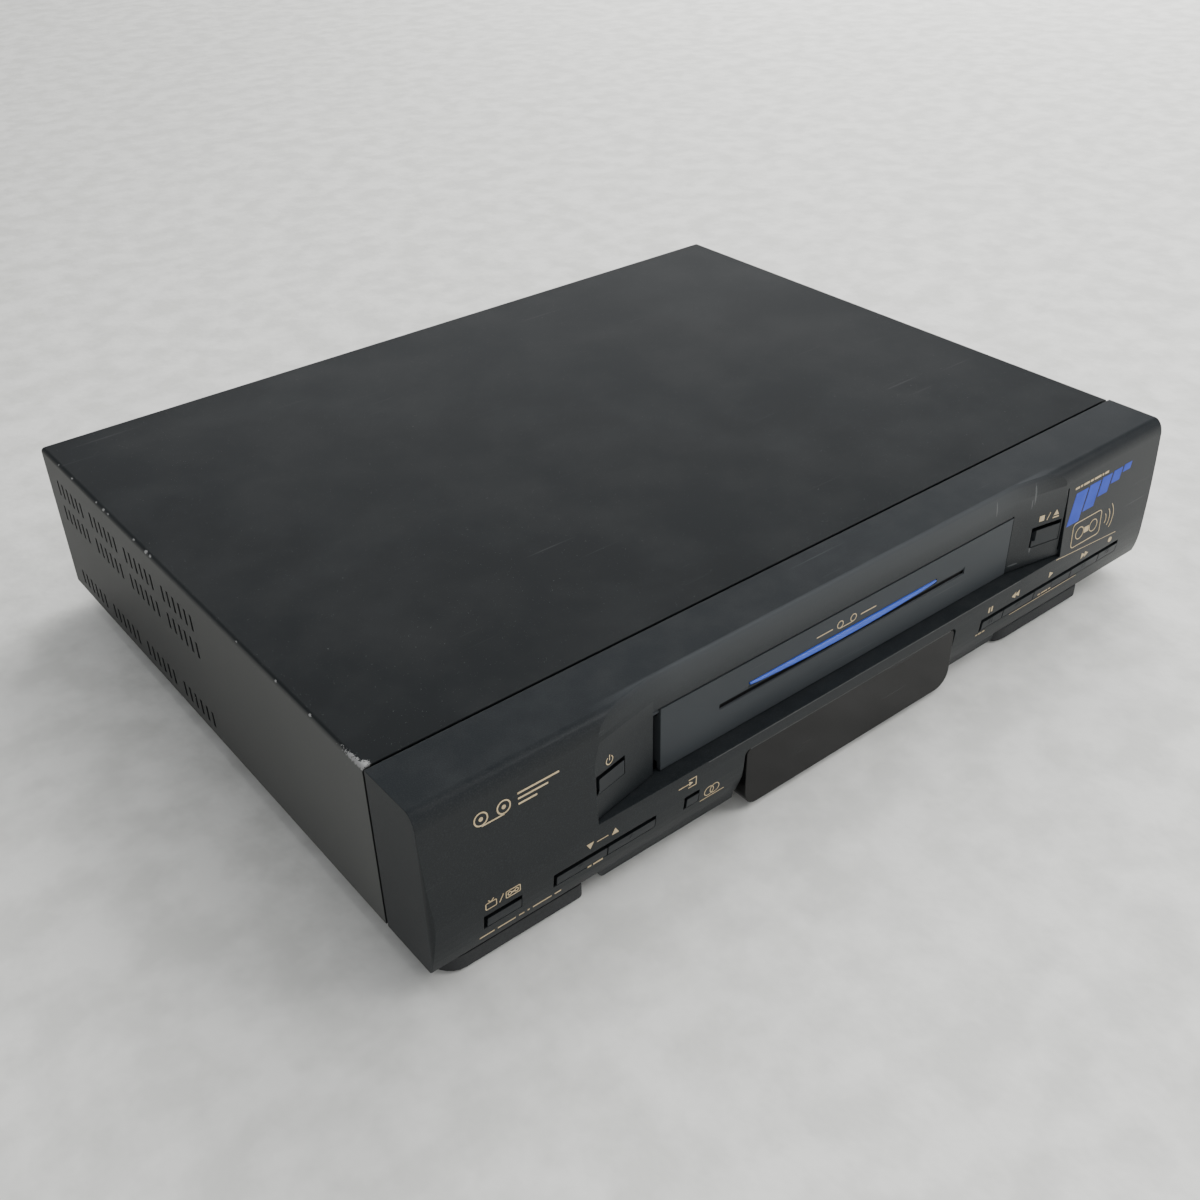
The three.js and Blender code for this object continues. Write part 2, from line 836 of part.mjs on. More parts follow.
// Keys: each is a piece of the front's own surface on a stem, with a flange that keeps it from falling out

function addLowKey(shaped, entry, low, high) {
  const [openingLeft, openingRight] = keySpan(entry);
  const left = openingLeft + (entry.first ? keySideSlot : keySplit / 2);
  const right = openingRight - (entry.last ? keyGap : keySplit / 2);
  const bottom = low + keyGap;
  const top = high - keyTopSlot;
  const face = block(left, right, -beltDepth - overrun, keyBack, bottom, top).intersect(shaped);
  const stem = block(left, right, -frontCavityDepth - restGap, keyBack, bottom, top);
  const flangeBack = flangeFront + flangeThickness;
  const flange = block(left, right, flangeFront, flangeBack, low - flangeLip, high + flangeLip);
  add(entry.name, join(face, stem, flange), "key");
}

// A key in the recess: a slot along its top and, beside its upper part, down its left side.
function addPanelKey(shaped, name, left, right, low, high, notch) {
  const back = -panelKeyBackDepth;
  const bottom = low + keyGap;
  const top = high - keyTopSlot;
  const front = -beltDepth - overrun;
  const innerEdge = Math.min(Math.abs(left), Math.abs(right)) - flangeLip;
  const flangeDepth = panelDepth(innerEdge) - frontWall - restGap;
  const rightSide = right - keyGap;
  const upper = block(left + notch, rightSide, front, back, bottom, top);
  const lower = block(left + keyGap, rightSide, front, back, bottom, top - panelNotchHeight);
  const face = join(upper, lower).intersect(shaped);
  const stem = block(left + notch, rightSide, -flangeDepth - frontWall, back, bottom, top);
  const flangeBack = flangeThickness - flangeDepth;
  const flange = block(
    left - flangeLip,
    rightSide + flangeLip,
    -flangeDepth,
    flangeBack,
    low - flangeLip,
    high + flangeLip,
  );
  add(name, join(face, stem, flange), "key");
}

function addKeys(shaped) {
  for (const entry of lowerKeys) addLowKey(shaped, entry, lowKeyBottom, lowKeyTop);
  for (const entry of transportKeys) addLowKey(shaped, entry, transportBottom, transportTop);
  addPanelKey(shaped, "power_key", powerLeft, powerRight, powerBottom, powerTop, keySideSlot);
  addPanelKey(shaped, "stop_eject_key", ejectLeft, ejectRight, ejectBottom, ejectTop, ejectNotchWidth);
}

// Cassette door and the strip let into it

function addDoor() {
  const plate = block(doorLeft, doorRight, doorFront, doorBack, doorLow, doorTop);
  const ribLow = grooveLow - grooveDepth;
  const ribHigh = ribLow + grooveRibHeight;
  const ribInset = doorReturnInset + doorReturnWall;
  const rib = block(
    doorLeft + ribInset,
    doorRight - ribInset,
    doorBack - restGap,
    doorBack + grooveRibDepth,
    ribLow,
    ribHigh,
  );
  const returnLow = doorLow + doorReturnInset;
  const returnHigh = hingeHeight - doorReturnInset;
  const returnBack = doorBack + doorReturnDepth;
  const returns = [doorLeft, doorRight - doorReturnWall].map((x) =>
    block(x, x + doorReturnWall, doorFront + grooveDepth, returnBack, returnLow, returnHigh),
  );
  const pinReach = doorwayHalf - restGap;
  const pins = [
    bar("x", hingePinRadius, -pinReach, doorLeft + doorReturnInset, hingeY, hingeHeight, coarseSides),
    bar("x", hingePinRadius, doorRight - doorReturnInset, pinReach, hingeY, hingeHeight, coarseSides),
  ];
  const wedge = points(
    [doorFront - overrun, grooveLow],
    [doorFront + grooveDepth, grooveLow],
    [doorFront, grooveLow + grooveHeight],
    [doorFront - overrun, grooveLow + grooveHeight],
  );
  const groove = prism(wedge, "x", -grooveLeft, grooveRight);
  const pocket = block(
    -stripLeft - restGap,
    stripRight + restGap,
    doorFront - overrun,
    doorFront + stripPocketDepth,
    stripLow - restGap,
    stripLow + stripHeight + restGap,
  );
  add("cassette_door", cut(join(plate, rib, ...returns, ...pins), groove, pocket), "door");

  const stripMiddle = stripLow + stripHeight / 2;
  const crown = new THREE.Shape();
  const stripBack = doorFront + stripPocketDepth - restGap;
  crown.moveTo(stripBack, stripLow);
  crown.lineTo(stripBack, stripLow + stripHeight);
  crown.lineTo(doorFront, stripLow + stripHeight);
  crown.absellipse(doorFront, stripMiddle, stripProud, stripHeight / 2, Math.PI / 2, 1.5 * Math.PI, false);
  crown.lineTo(doorFront, stripLow);
  add("door_strip", prism(crown, "x", -stripLeft, stripRight, 5), "strip");
}

// Smoked window: an open-backed tray set in the front

function addWindow() {
  const lowRadius = windowLowRadius;
  const radii = [lowRadius, lowRadius, windowTopRadius, windowTopRadius];
  const outline = roundedRectangle(-windowHalf, windowHalf, windowLow, windowHigh, radii);
  const inner = windowHalf - windowWall;
  const innerRadii = radii.map((radius) => radius - windowWall);
  const innerLow = windowLow + windowWall;
  const innerHigh = windowHigh - windowWall;
  const hollow = roundedRectangle(-inner, inner, innerLow, innerHigh, innerRadii);
  const back = windowDepth - windowFront;
  const shell = cut(
    prism(outline, "y", -windowFront, back),
    prism(hollow, "y", windowWall - windowFront, back + overrun),
  );
  add("display_window", shell, "window");
}

// Feet

function footSolid(x0, x1, y0, y1, radii) {
  const inset = footSoleInset;
  const deep = footNeckInset;
  const smaller = radii.map((radius) => radius - inset);
  const soleTop = footSole - footHeight;
  const bodyTop = -restGap - footNeck;
  const sole = roundedRectangle(x0 + inset, x1 - inset, y0 + inset, y1 - inset, smaller);
  const body = roundedRectangle(x0, x1, y0, y1, radii);
  const neck = roundedRectangle(x0 + deep, x1 - deep, y0 + deep, y1 - deep, radii);
  return join(
    prism(sole, "z", -footHeight, bodyTop - footSole),
    prism(body, "z", soleTop, bodyTop),
    prism(neck, "z", bodyTop - footSole, -restGap),
  );
}

function addFeet() {
  const small = footSmallRadius;
  const big = footCornerRadius;
  const front = -footFront;
  const radii = [big, small, small, small];
  const back = frontFootBack;
  add("foot_front_left", footSolid(footLeftOuter, footLeftInner, front, back, radii), "rubber");
  add("foot_front_right", footSolid(footRightInner, footRightOuter, front, back, radii), "rubber");
  const rearHigh = coverDepth - rearFootInset;
  const rearLow = rearHigh - rearFootDepth;
  const rearFootOuter = half - rearFootSideInset;
  const rearInner = rearFootOuter - rearFootWidth;
  const rearRadii = [small, small, small, small];
  add("foot_rear_left", footSolid(-rearFootOuter, -rearInner, rearLow, rearHigh, rearRadii), "rubber");
  add("foot_rear_right", footSolid(rearInner, rearFootOuter, rearLow, rearHigh, rearRadii), "rubber");
}

// Chassis frame, bottom plate, rear panel and the two screws that hold the cover

const boardBosses = [
  [boardInner + boardBossRadius, ribFrontPlace],
  [boardOuter - boardBossRadius, ribFrontPlace],
  [boardInner + boardBossRadius, ribRearPlace],
  [boardOuter - boardBossRadius, ribRearPlace],
];

function addChassis() {
  const wall = chassisWall;
  const outer = block(-innerHalf, innerHalf, chassisFront, chassisBack, chassisLow, chassisHeight);
  const inner = block(
    wall - innerHalf,
    innerHalf - wall,
    chassisFront + wall,
    chassisBack - wall,
    -overrun,
    chassisHeight + overrun,
  );
  const ring = outer.subtract(inner);
  const ribLow = chassisLow + restGap;
  const beamLow = ribLow + restGap;
  const ribEnd = innerHalf - wall / 2;
  const ribs = [ribFrontPlace, ribMidPlace, ribRearPlace].map((y) =>
    block(-ribEnd, ribEnd, y - wall / 2, y + wall / 2, ribLow, ribHeight),
  );
  const beamFront = chassisFront + wall / 2;
  const beamBack = chassisBack - wall / 2;
  const beams = [-beamPlace, beamPlace].map((x) =>
    block(x - wall / 2, x + wall / 2, beamFront, beamBack, beamLow, beamHeight),
  );
  const deckBosses = [];
  for (const x of [-deckBossPlace, deckBossPlace]) {
    for (const y of [ribFrontPlace, ribMidPlace]) {
      const top = deckHeight - restGap;
      deckBosses.push(bar("z", deckBossRadius, chassisLow, top, x, y, coarseSides));
    }
  }
  const boards = [];
  for (const [x, y] of boardBosses) {
    boards.push(bar("z", boardBossRadius, chassisLow, beamHeight, x, y, coarseSides));
    boards.push(bar("z", boardBossRadius, chassisLow, beamHeight, -x, y, coarseSides));
  }
  add("chassis_frame", join(ring, ...ribs, ...beams, ...deckBosses, ...boards), "plastic");

  const slots = [];
  const slotPitch = (half - bottomSlotInset - bottomSlotInner) / (bottomSlotCount - 1);
  for (const side of [-1, 1]) {
    for (let i = 0; i < bottomSlotCount; i++) {
      const x = side * (bottomSlotInner + i * slotPitch);
      const x0 = x - bottomSlotWidth / 2;
      const y1 = bottomSlotStart + bottomSlotLength;
      slots.push(block(x0, x0 + bottomSlotWidth, bottomSlotStart, y1, -overrun, overrun));
    }
  }
  const plate = block(-innerHalf, innerHalf, restGap, chassisBack, 0, plateThickness);
  add("bottom_plate", cut(plate, ...slots), "zinc");
}

function jackPlaces() {
  const places = [];
  for (let column = 0; column < 3; column++) {
    const x = jackBlockLeft + jackFirstInset + column * jackPitch;
    for (const z of [jackLowHeight, jackHighHeight]) places.push([x, z]);
  }
  return places;
}

function addRear() {
  const panel = block(-innerHalf, innerHalf, rearFront, rearFace, rearInset, coverCeiling - restGap);
  const y0 = rearFront - overrun;
  const y1 = rearFace + overrun;
  const holes = jackPlaces().map(([x, z]) => bar("y", jackRadius + jackHoleGap, y0, y1, x, z, plainSides));
  for (const z of [aerialInHeight, aerialOutHeight]) {
    holes.push(bar("y", aerialRadius + jackHoleGap, y0, y1, aerialX, z, plainSides));
  }
  const lipHeight = caseHeight - coverLipHeight / 2;
  for (const x of [-screwPlace, screwPlace]) {
    holes.push(bar("y", screwHoleRadius, y0, y1, x, lipHeight, coarseSides));
  }
  const knobHalf = knobWidth / 2 + restGap;
  const knobTallHalf = knobTall / 2 + restGap;
  const knobLow = knobHeight - knobTallHalf;
  const knobHigh = knobHeight + knobTallHalf;
  holes.push(block(aerialX - knobHalf, aerialX + knobHalf + knobTravel, y0, y1, knobLow, knobHigh));
  const inletHalf = inletWidth / 2 + restGap;
  const inletTallHalf = inletTall / 2 + restGap;
  const inletLow = inletZ - inletTallHalf;
  const inletHigh = inletZ + inletTallHalf;
  holes.push(block(inletX - inletHalf, inletX + inletHalf, y0, y1, inletLow, inletHigh));
  add("rear_panel", cut(panel, ...holes), "zinc");
}

function addScrews() {
  const z = caseHeight - coverLipHeight / 2;
  const headLow = coverDepth + restGap;
  const headHigh = headLow + screwHeadHeight;
  for (const [name, x] of [["cover_screw_left", -screwPlace], ["cover_screw_right", screwPlace]]) {
    const head = bar("y", screwHeadRadius, headLow, headHigh, x, z, plainSides);
    const shank = bar("y", screwShankRadius, headLow - screwShankLength, headHigh, x, z, coarseSides);
    const slotLow = headHigh - screwSlotDepth;
    const a = screwSlotWidth / 2;
    const b = screwHeadRadius - screwSlotWidth;
    const across = block(x - b, x + b, slotLow, headHigh + overrun, z - a, z + a);
    const upright = block(x - a, x + a, slotLow, headHigh + overrun, z - b, z + b);
    const body = cut(join(head, shank), across, upright);
    add(name, body, "steel");
  }
}

// Boards and electrical parts

function addBoards() {
  const boardBack = chassisBack - boardBackInset;
  const mainBoard = block(boardInner, boardOuter, mainBoardFront, boardBack, boardLow, boardTop);
  add("main_board", mainBoard, "board");
  const powerBoard = block(-boardOuter, -boardInner, powerBoardFront, boardBack, boardLow, boardTop);
  add("power_board", powerBoard, "board");

  const low = onBoard;
  const x0 = transformerX - transformerLength / 2;
  const y0 = transformerY - transformerWidth / 2;
  const top = low + transformerHeight;
  const core = block(x0, x0 + transformerLength, y0, y0 + transformerWidth, low, top);
  const wx0 = transformerX - windingLength / 2;
  const wy0 = transformerY - windingWidth / 2;
  const winding = block(
    wx0,
    wx0 + windingLength,
    wy0,
    wy0 + windingWidth,
    low + windingInset,
    top - windingInset,
  );
  add("power_transformer", join(core, winding), "copper");

  const canTop = low + capacitorHeight;
  const can = bar("z", capacitorRadius, low, canTop, capacitorX, capacitorY);
  const dimpleLow = canTop - capacitorDimple;
  const dimple = bar("z", capacitorRimRadius, dimpleLow, canTop + overrun, capacitorX, capacitorY);
  add("smoothing_capacitor", cut(can, dimple), "plastic");
}

// The board behind the front: low in the middle, with an ear up to each key in the recess.
function addFrontBoard() {
  const back = boardThickness - frontBoardDepth;
  const h = frontBoardHalf;
  const outline = points(
    [-h, frontBoardLow],
    [h, frontBoardLow],
    [h, frontBoardHigh],
    [earOuter, frontBoardHigh],
    [earOuter, earTop],
    [earInner, earTop],
    [earInner, frontBoardHigh],
    [-earInner, frontBoardHigh],
    [-earInner, earTop],
    [-earOuter, earTop],
    [-earOuter, frontBoardHigh],
    [-h, frontBoardHigh],
  );
  const board = prism(outline, "y", -frontBoardDepth, back);
  const switches = [];
  const addSwitch = (left, right, low, high, keyBackPlace) => {
    const x = (left + right) / 2;
    const z = (low + high) / 2;
    const s = switchHalf;
    const tip = keyBackPlace + keyTravel + restGap;
    switches.push(block(x - s, x + s, tip, back, z - s, z + s));
  };
  for (const key of lowerKeys) addSwitch(...keySpan(key), lowKeyBottom, lowKeyTop, keyBack);
  for (const key of transportKeys) addSwitch(...keySpan(key), transportBottom, transportTop, keyBack);
  addSwitch(powerLeft, powerRight, powerBottom, powerTop, -panelKeyBackDepth);
  addSwitch(ejectLeft, ejectRight, ejectBottom, ejectTop, -panelKeyBackDepth);
  add("front_board", join(board, ...switches), "board");

  const tubeBack = -frontBoardDepth - restGap;
  const r = tubeEndRadius;
  const tubeOutline = roundedRectangle(-tubeHalf, tubeHalf, tubeLow, tubeHigh, [r, r, r, r]);
  add("display_tube", prism(tubeOutline, "y", tubeBack - tubeThickness, tubeBack, 3), "glass");
}

function addRearConnectors() {
  const wallFront = rearFront - restGap;
  const tunerTop = coverCeiling - tunerHeadroom;
  const tunerInner = tunerOuter - tunerWidth;
  const tuner = block(tunerInner, tunerOuter, wallFront - tunerLength, wallFront, onBoard, tunerTop);
  add("tuner_can", tuner, "zinc");
  const sockets = [["aerial_in_socket", aerialInHeight], ["aerial_out_socket", aerialOutHeight]];
  for (const [name, z] of sockets) {
    const start = wallFront + restGap / 2;
    const tip = rearFace + aerialLength;
    const hexLow = rearFace + restGap;
    const barrel = bar("y", aerialRadius, start, tip, aerialX, z, plainSides);
    const nut = bar("y", aerialHexRadius, hexLow, hexLow + aerialHexLength, aerialX, z, 6);
    const bore = bar("y", aerialBore, tip - aerialBoreDepth, tip + overrun, aerialX, z, coarseSides);
    add(name, cut(join(barrel, nut), bore), "steel");
  }
  const jackTop = onBoard + jackBlockHeight;
  const back = wallFront - jackBlockDepth;
  const body = block(jackBlockLeft, jackBlockRight, back, wallFront, onBoard, jackTop);
  const tip = rearFace + jackLength;
  const boreStart = tip - jackLength;
  const sleeves = jackPlaces().map(([x, z]) => bar("y", jackRadius, wallFront - restGap, tip, x, z));
  const boreEnd = tip + overrun;
  const bores = jackPlaces().map(([x, z]) => bar("y", jackBore, boreStart, boreEnd, x, z, coarseSides));
  add("av_jack_block", cut(join(body, ...sleeves), ...bores), "white");

  const knob = block(
    aerialX - knobWidth / 2,
    aerialX + knobWidth / 2,
    rearFront,
    rearFront + knobLength,
    knobHeight - knobTall / 2,
    knobHeight + knobTall / 2,
  );
  add("channel_switch_knob", knob, "key");

  const flangeLow = rearFace + restGap;
  const flangeHigh = flangeLow + inletFlangeThickness;
  const a = inletWidth / 2;
  const b = inletTall / 2;
  const fa = a + inletFlange;
  const fb = b + inletFlange;
  const flange = block(inletX - fa, inletX + fa, flangeLow, flangeHigh, inletZ - fb, inletZ + fb);
  const bodyBlock = block(
    inletX - a,
    inletX + a,
    flangeHigh - inletBodyDepth,
    flangeHigh,
    inletZ - b,
    inletZ + b,
  );
  const ra = inletRecessWidth / 2;
  const rb = inletRecessTall / 2;
  const mouth = roundedRectangle(inletX - ra, inletX + ra, inletZ - rb, inletZ + rb, [rb, rb, rb, rb]);
  const floor = flangeHigh - inletRecessDepth;
  const recess = prism(mouth, "y", floor, flangeHigh + overrun, 5);
  const pins = [-inletPinPlace, inletPinPlace].map((dx) =>
    bar("y", inletPinRadius, floor - restGap, floor + inletPinLength, inletX + dx, inletZ, coarseSides),
  );
  add("mains_inlet", join(cut(join(flange, bodyBlock), recess), ...pins), "plastic");
}

// Deck plate with the holes that shafts and tape guides pass through

function addDeck() {
  const plate = block(-deckHalf, deckHalf, deckFront, deckBack, deckHeight, deckTop);
  const low = deckHeight - overrun;
  const high = deckTop + overrun;
  const capstanHole = bar("z", capstanRadius + postHoleGap, low, high, capstanX, capstanY, coarseSides);
  const centreHole = bar("z", centreShaftRadius + postHoleGap, low, high, 0, centreY, coarseSides);
  const guideSlots = [-1, 1].map((side) => {
    const loadedX = side * guideLoadedX;
    return link(side * guideRestX, guideRestY, loadedX, guideLoadedY, guideSlotWidth, low, high);
  });
  add("deck_plate", cut(plate, capstanHole, centreHole, ...guideSlots), "zinc");
}

// Side brackets that the slider runs in, joined by a bar over the top

function slotY(x0, x1, y0, y1, z, halfHeight) {
  return block(x0, x1, y0, y1, z - halfHeight, z + halfHeight);
}

function addLoadingFrame() {
  const sides = [];
  const slots = [];
  for (const side of [-1, 1]) {
    const a = side * frameInner;
    const b = side * (frameInner + frameWall);
    const x0 = Math.min(a, b);
    const x1 = Math.max(a, b);
    sides.push(block(x0, x1, frameFront, frameBack, onDeck, frameTop));
    const h = sliderPinRadius + slotClear;
    for (const pin of [sliderPinFront, sliderPinBack]) {
      const y0 = pin - h;
      const y1 = pin + sliderTravel + h;
      slots.push(slotY(x0 - overrun, x1 + overrun, y0, y1, sliderPinHeight, h));
    }
  }
  const reach = frameInner + frameWall;
  const overBar = block(-reach, reach, frameBarFront, frameBarBack, frameTop - frameWall, frameTop);
  add("loading_frame", cut(join(sides[0], sides[1], overBar), ...slots), "zinc");
}

function addSlider() {
  const bodies = [];
  const slots = [];
  const outer = sliderInner + sliderWall;
  for (const side of [-1, 1]) {
    const x0 = Math.min(side * sliderInner, side * outer);
    const x1 = Math.max(side * sliderInner, side * outer);
    bodies.push(block(x0, x1, sliderFront, sliderBack, sliderLow, sliderTop));
    const pinEnd = side * (frameInner + frameWall);
    const p0 = Math.min(side * sliderInner, pinEnd);
    const p1 = Math.max(side * sliderInner, pinEnd);
    for (const y of [sliderPinFront, sliderPinBack]) {
      bodies.push(bar("x", sliderPinRadius, p0, p1, y, sliderPinHeight, coarseSides));
    }
    const h = holderPinRadius + slotClear;
    for (const y of [holderPinFront, holderPinBack]) {
      const z0 = holderPinHeight - holderDrop - h;
      slots.push(block(x0 - overrun, x1 + overrun, y - h, y + h, z0, holderPinHeight + h));
    }
  }
  const z0 = sliderTop - sliderWall;
  const overBar = block(-outer, outer, sliderBarFront, sliderBarBack, z0, sliderTop);
  const [first, ...rest] = bodies;
  const clear = slots.map((slot) => slot);
  add("tray_slider", cut(join(first, ...rest, overBar), ...clear), "zinc");
}

function addHolder() {
  const wall = holderWall;
  const top = block(-holderHalf, holderHalf, holderFront, holderBack, holderHigh - wall, holderHigh);
  const windows = [-1, 1].map((side) => {
    const a = side * holderWindowInset;
    const b = side * holderWindowHalf;
    const y0 = holderFront + holderWindowInset;
    const y1 = holderFront + holderSlide - holderWindowInset;
    return block(Math.min(a, b), Math.max(a, b), y0, y1, holderHigh - wall - overrun, holderHigh + overrun);
  });
  const walls = [];
  for (const side of [-1, 1]) {
    const a = side * holderHalf;
    const b = side * (holderHalf - wall);
    walls.push(block(Math.min(a, b), Math.max(a, b), holderFront, holderBack, holderLow, holderHigh));
    const c = side * (holderHalf - holderLedge);
    walls.push(block(Math.min(a, c), Math.max(a, c), holderFront, holderBack, holderLow, holderLow + wall));
    const pinEnd = side * (sliderInner + sliderWall);
    for (const y of [holderPinFront, holderPinBack]) {
      const p0 = Math.min(b, pinEnd);
      const p1 = Math.max(b, pinEnd);
      walls.push(bar("x", holderPinRadius, p0, p1, y, holderPinHeight, coarseSides));
    }
  }
  add("cassette_holder", cut(join(top, ...walls), ...windows), "zinc");
}

// Head drum: a fixed lower half on a foot, and the turning upper half, both tilted

const drumGroup = new THREE.Group();
drumGroup.position.set(0, drumY, deckTop + drumBase);
drumGroup.rotation.x = drumTilt;

function addDrum() {
  const lower = barGeometry("z", drumRadius, 0, lowerDrumHeight, 0, 0, fineSides);
  lower.rotateX(drumTilt).translate(0, drumY, deckTop + drumBase);
  const footTop = deckTop + drumBase + drumBase;
  const foot = bar("z", drumBaseRadius, onDeck, footTop, 0, drumY, fineSides);
  add("lower_drum", join(solidOf(lower), foot), "aluminium");

  const low = lowerDrumHeight + restGap;
  const high = low + upperDrumHeight;
  const shoulder = high - drumChamfer;
  const cap = new THREE.CylinderGeometry(drumRadius - drumChamfer, drumRadius, drumChamfer, fineSides);
  cap.rotateX(Math.PI / 2).translate(0, 0, shoulder + drumChamfer / 2);
  const body = bar("z", drumRadius, low, shoulder, 0, 0, fineSides);
  const dip = bar("z", drumHubRadius, high - drumHubDip, high + overrun, 0, 0, plainSides);
  add("upper_drum", cut(join(body, solidOf(cap)), dip), "aluminium", drumGroup);
  recorder.add(drumGroup);
}

// Capstan, belt, centre pulley and idler

function addCapstan() {
  const x = capstanX;
  const y = capstanY;
  const wheelTop = flywheelLow + flywheelHeight;
  const wheel = bar("z", flywheelRadius, flywheelLow, wheelTop, x, y, fineSides);
  const pulley = bar("z", capstanPulleyRadius, flywheelLow, pulleyTop, x, y);
  const shaft = bar("z", capstanRadius, flywheelLow, capstanTop, x, y, coarseSides);
  add("capstan_shaft", join(wheel, pulley, shaft), "steel");
  const housingTop = onDeck + capstanHousingHeight;
  const housing = bar("z", capstanHousingRadius, onDeck, housingTop, x, y);
  const bore = bar("z", capstanRadius + capstanBoreGap, 0, capstanTop, x, y, coarseSides);
  add("capstan_housing", cut(housing, bore), "aluminium");
}

// The belt's loop round both pulleys, as the outline of two circles and their outer tangents.
function beltLoop(grow) {
  const r0 = centrePulleyRadius + grow;
  const r1 = capstanPulleyRadius + grow;
  const dx = capstanX;
  const dy = capstanY - centreY;
  const length = Math.hypot(dx, dy);
  const heading = Math.atan2(dy, dx);
  const spread = Math.acos((r0 - r1) / length);
  const shape = new THREE.Shape();
  shape.absarc(0, centreY, r0, heading + spread, heading - spread + 2 * Math.PI, false);
  shape.absarc(capstanX, capstanY, r1, heading - spread, heading + spread, false);
  return shape;
}

function addDriveTrain() {
  const high = beltHeightLow + beltWidth;
  const outside = prism(beltLoop(restGap + beltThickness), "z", beltHeightLow, high, 8);
  const inside = prism(beltLoop(restGap), "z", beltHeightLow - overrun, high + overrun, 8);
  add("drive_belt", cut(outside, inside), "rubber");

  const wheelTop = idlerWheelLow + idlerWheelHeight;
  const pulley = bar("z", centrePulleyRadius, beltHeightLow - restGap, pulleyTop, 0, centreY, fineSides);
  const shaft = bar("z", centreShaftRadius, beltHeightLow, wheelTop, 0, centreY, coarseSides);
  const gear = bar("z", centreGearRadius, idlerWheelLow, wheelTop, 0, centreY, fineSides);
  add("centre_pulley", join(pulley, shaft, gear), "white");

  const pivotY = centreY;
  const endY = centreY - idlerReach;
  const armTop = idlerArmLow + idlerArmThickness;
  const plate = link(0, pivotY, 0, endY, 2 * idlerHubRadius, idlerArmLow, armTop);
  const hole = bar("z", centreShaftRadius + postHoleGap, 0, armTop + overrun, 0, pivotY, coarseSides);
  const pin = bar("z", idlerPinRadius, idlerArmLow, wheelTop, 0, endY, coarseSides);
  add("idler_arm", join(cut(plate, hole), pin), "zinc");

  const wheel = bar("z", idlerGearRadius, idlerWheelLow, wheelTop, 0, endY);
  const bore = bar("z", idlerPinRadius + restGap, 0, wheelTop + overrun, 0, endY, coarseSides);
  add("idler_wheel", cut(wheel, bore), "white");
}

function addReels() {
  for (const [name, side] of [["supply_reel", -1], ["takeup_reel", 1]]) {
    const x = side * reelX;
    const tableTop = onDeck + reelTableHeight;
    const table = bar("z", reelRadius, onDeck, tableTop, x, reelY, fineSides);
    const spindle = bar("z", spindleRadius, onDeck, spindleTop, x, reelY);
    const splines = [0, 1, 2].map((i) => {
      const geometry = new THREE.BoxGeometry(splineReach, splineWidth, spindleTop - tableTop);
      geometry.translate(splineReach / 2, 0, (spindleTop + tableTop) / 2 - restGap);
      geometry.rotateZ((i * 2 * Math.PI) / 3).translate(x, reelY, 0);
      return solidOf(geometry);
    });
    add(name, join(table, spindle, ...splines), "white");
  }
}

// Pinch roller on its arm, tape guides, tension arm and heads

function addPinch() {
  const endX = pinchX + pinchArmLength * Math.cos(pinchRestAngle);
  const endY = pinchY + pinchArmLength * Math.sin(pinchRestAngle);
  const rollerTop = pinchRollerLow + pinchRollerHeight;
  const armLow = rollerTop + restGap;
  const armTop = armLow + pinchArmThickness;
  const arm = link(pinchX, pinchY, endX, endY, pinchArmWidth, armLow, armTop);
  const hubTop = armTop + pinchPinTip;
  const hub = bar("z", pinchHubRadius, onDeck, hubTop, pinchX, pinchY);
  const pin = bar("z", pinchPinRadius, pinchRollerLow - pinchPinTip, hubTop, endX, endY, coarseSides);
  add("pinch_roller_arm", join(arm, hub, pin), "zinc");
  const roller = bar("z", pinchRollerRadius, pinchRollerLow, rollerTop, endX, endY);
  const bore = bar("z", pinchPinRadius + restGap, 0, rollerTop + overrun, endX, endY, coarseSides);
  add("pinch_roller", cut(roller, bore), "rubber");
}

function addGuides() {
  for (const [name, side] of [["supply_guide", -1], ["takeup_guide", 1]]) {
    const x = side * guideRestX;
    const y = guideRestY;
    const a = guideBaseWidth / 2;
    const b = guideBaseLength / 2;
    const baseTop = onDeck + guideBaseHeight;
    const base = block(x - a, x + a, y - b, y + b, onDeck, baseTop);
    const post = bar("z", guideRollerRadius, onDeck, guideTop, x, y, coarseSides);
    const flange = bar("z", guideFlangeRadius, guideTop - guideFlangeHeight, guideTop, x, y, plainSides);
    add(name, join(base, post, flange), "steel");
  }
}

function addTensionArm() {
  const endX = tensionX + tensionReach * Math.cos(tensionAngle);
  const endY = tensionY + tensionReach * Math.sin(tensionAngle);
  const armTop = tensionArmLow + pinchArmThickness;
  const arm = link(tensionX, tensionY, endX, endY, tensionArmWidth, tensionArmLow, armTop);
  const hub = bar("z", tensionHubRadius, onDeck, armTop + tensionHubRise, tensionX, tensionY);
  const postLow = tensionArmLow - tensionHubRise;
  const post = bar("z", tensionPostRadius, postLow, guideTop, endX, endY, coarseSides);
  add("tension_arm", join(arm, hub, post), "zinc");
}

function addHeads() {
  const heads = [["audio_head", audioHeadX, audioHeadY], ["erase_head", eraseHeadX, eraseHeadY]];
  for (const [name, x, y] of heads) {
    const a = headWidth / 2;
    const b = headDepth / 2;
    const face = block(x - a, x + a, y - b, y + b, headFaceLow, headTop);
    const post = bar("z", headPostRadius, onDeck, headFaceLow + restGap, x, y, coarseSides);
    add(name, join(face, post), "steel");
  }
}

// Loading motor and the cam gear that it turns

function gearOutline(radius, tooth, count) {
  const outline = [];
  for (let i = 0; i < count * 4; i++) {
    const angle = (i / (count * 4)) * 2 * Math.PI;
    const r = i % 4 < 2 ? radius : radius + tooth;
    outline.push(new THREE.Vector2(r * Math.cos(angle), r * Math.sin(angle)));
  }
  return outline;
}

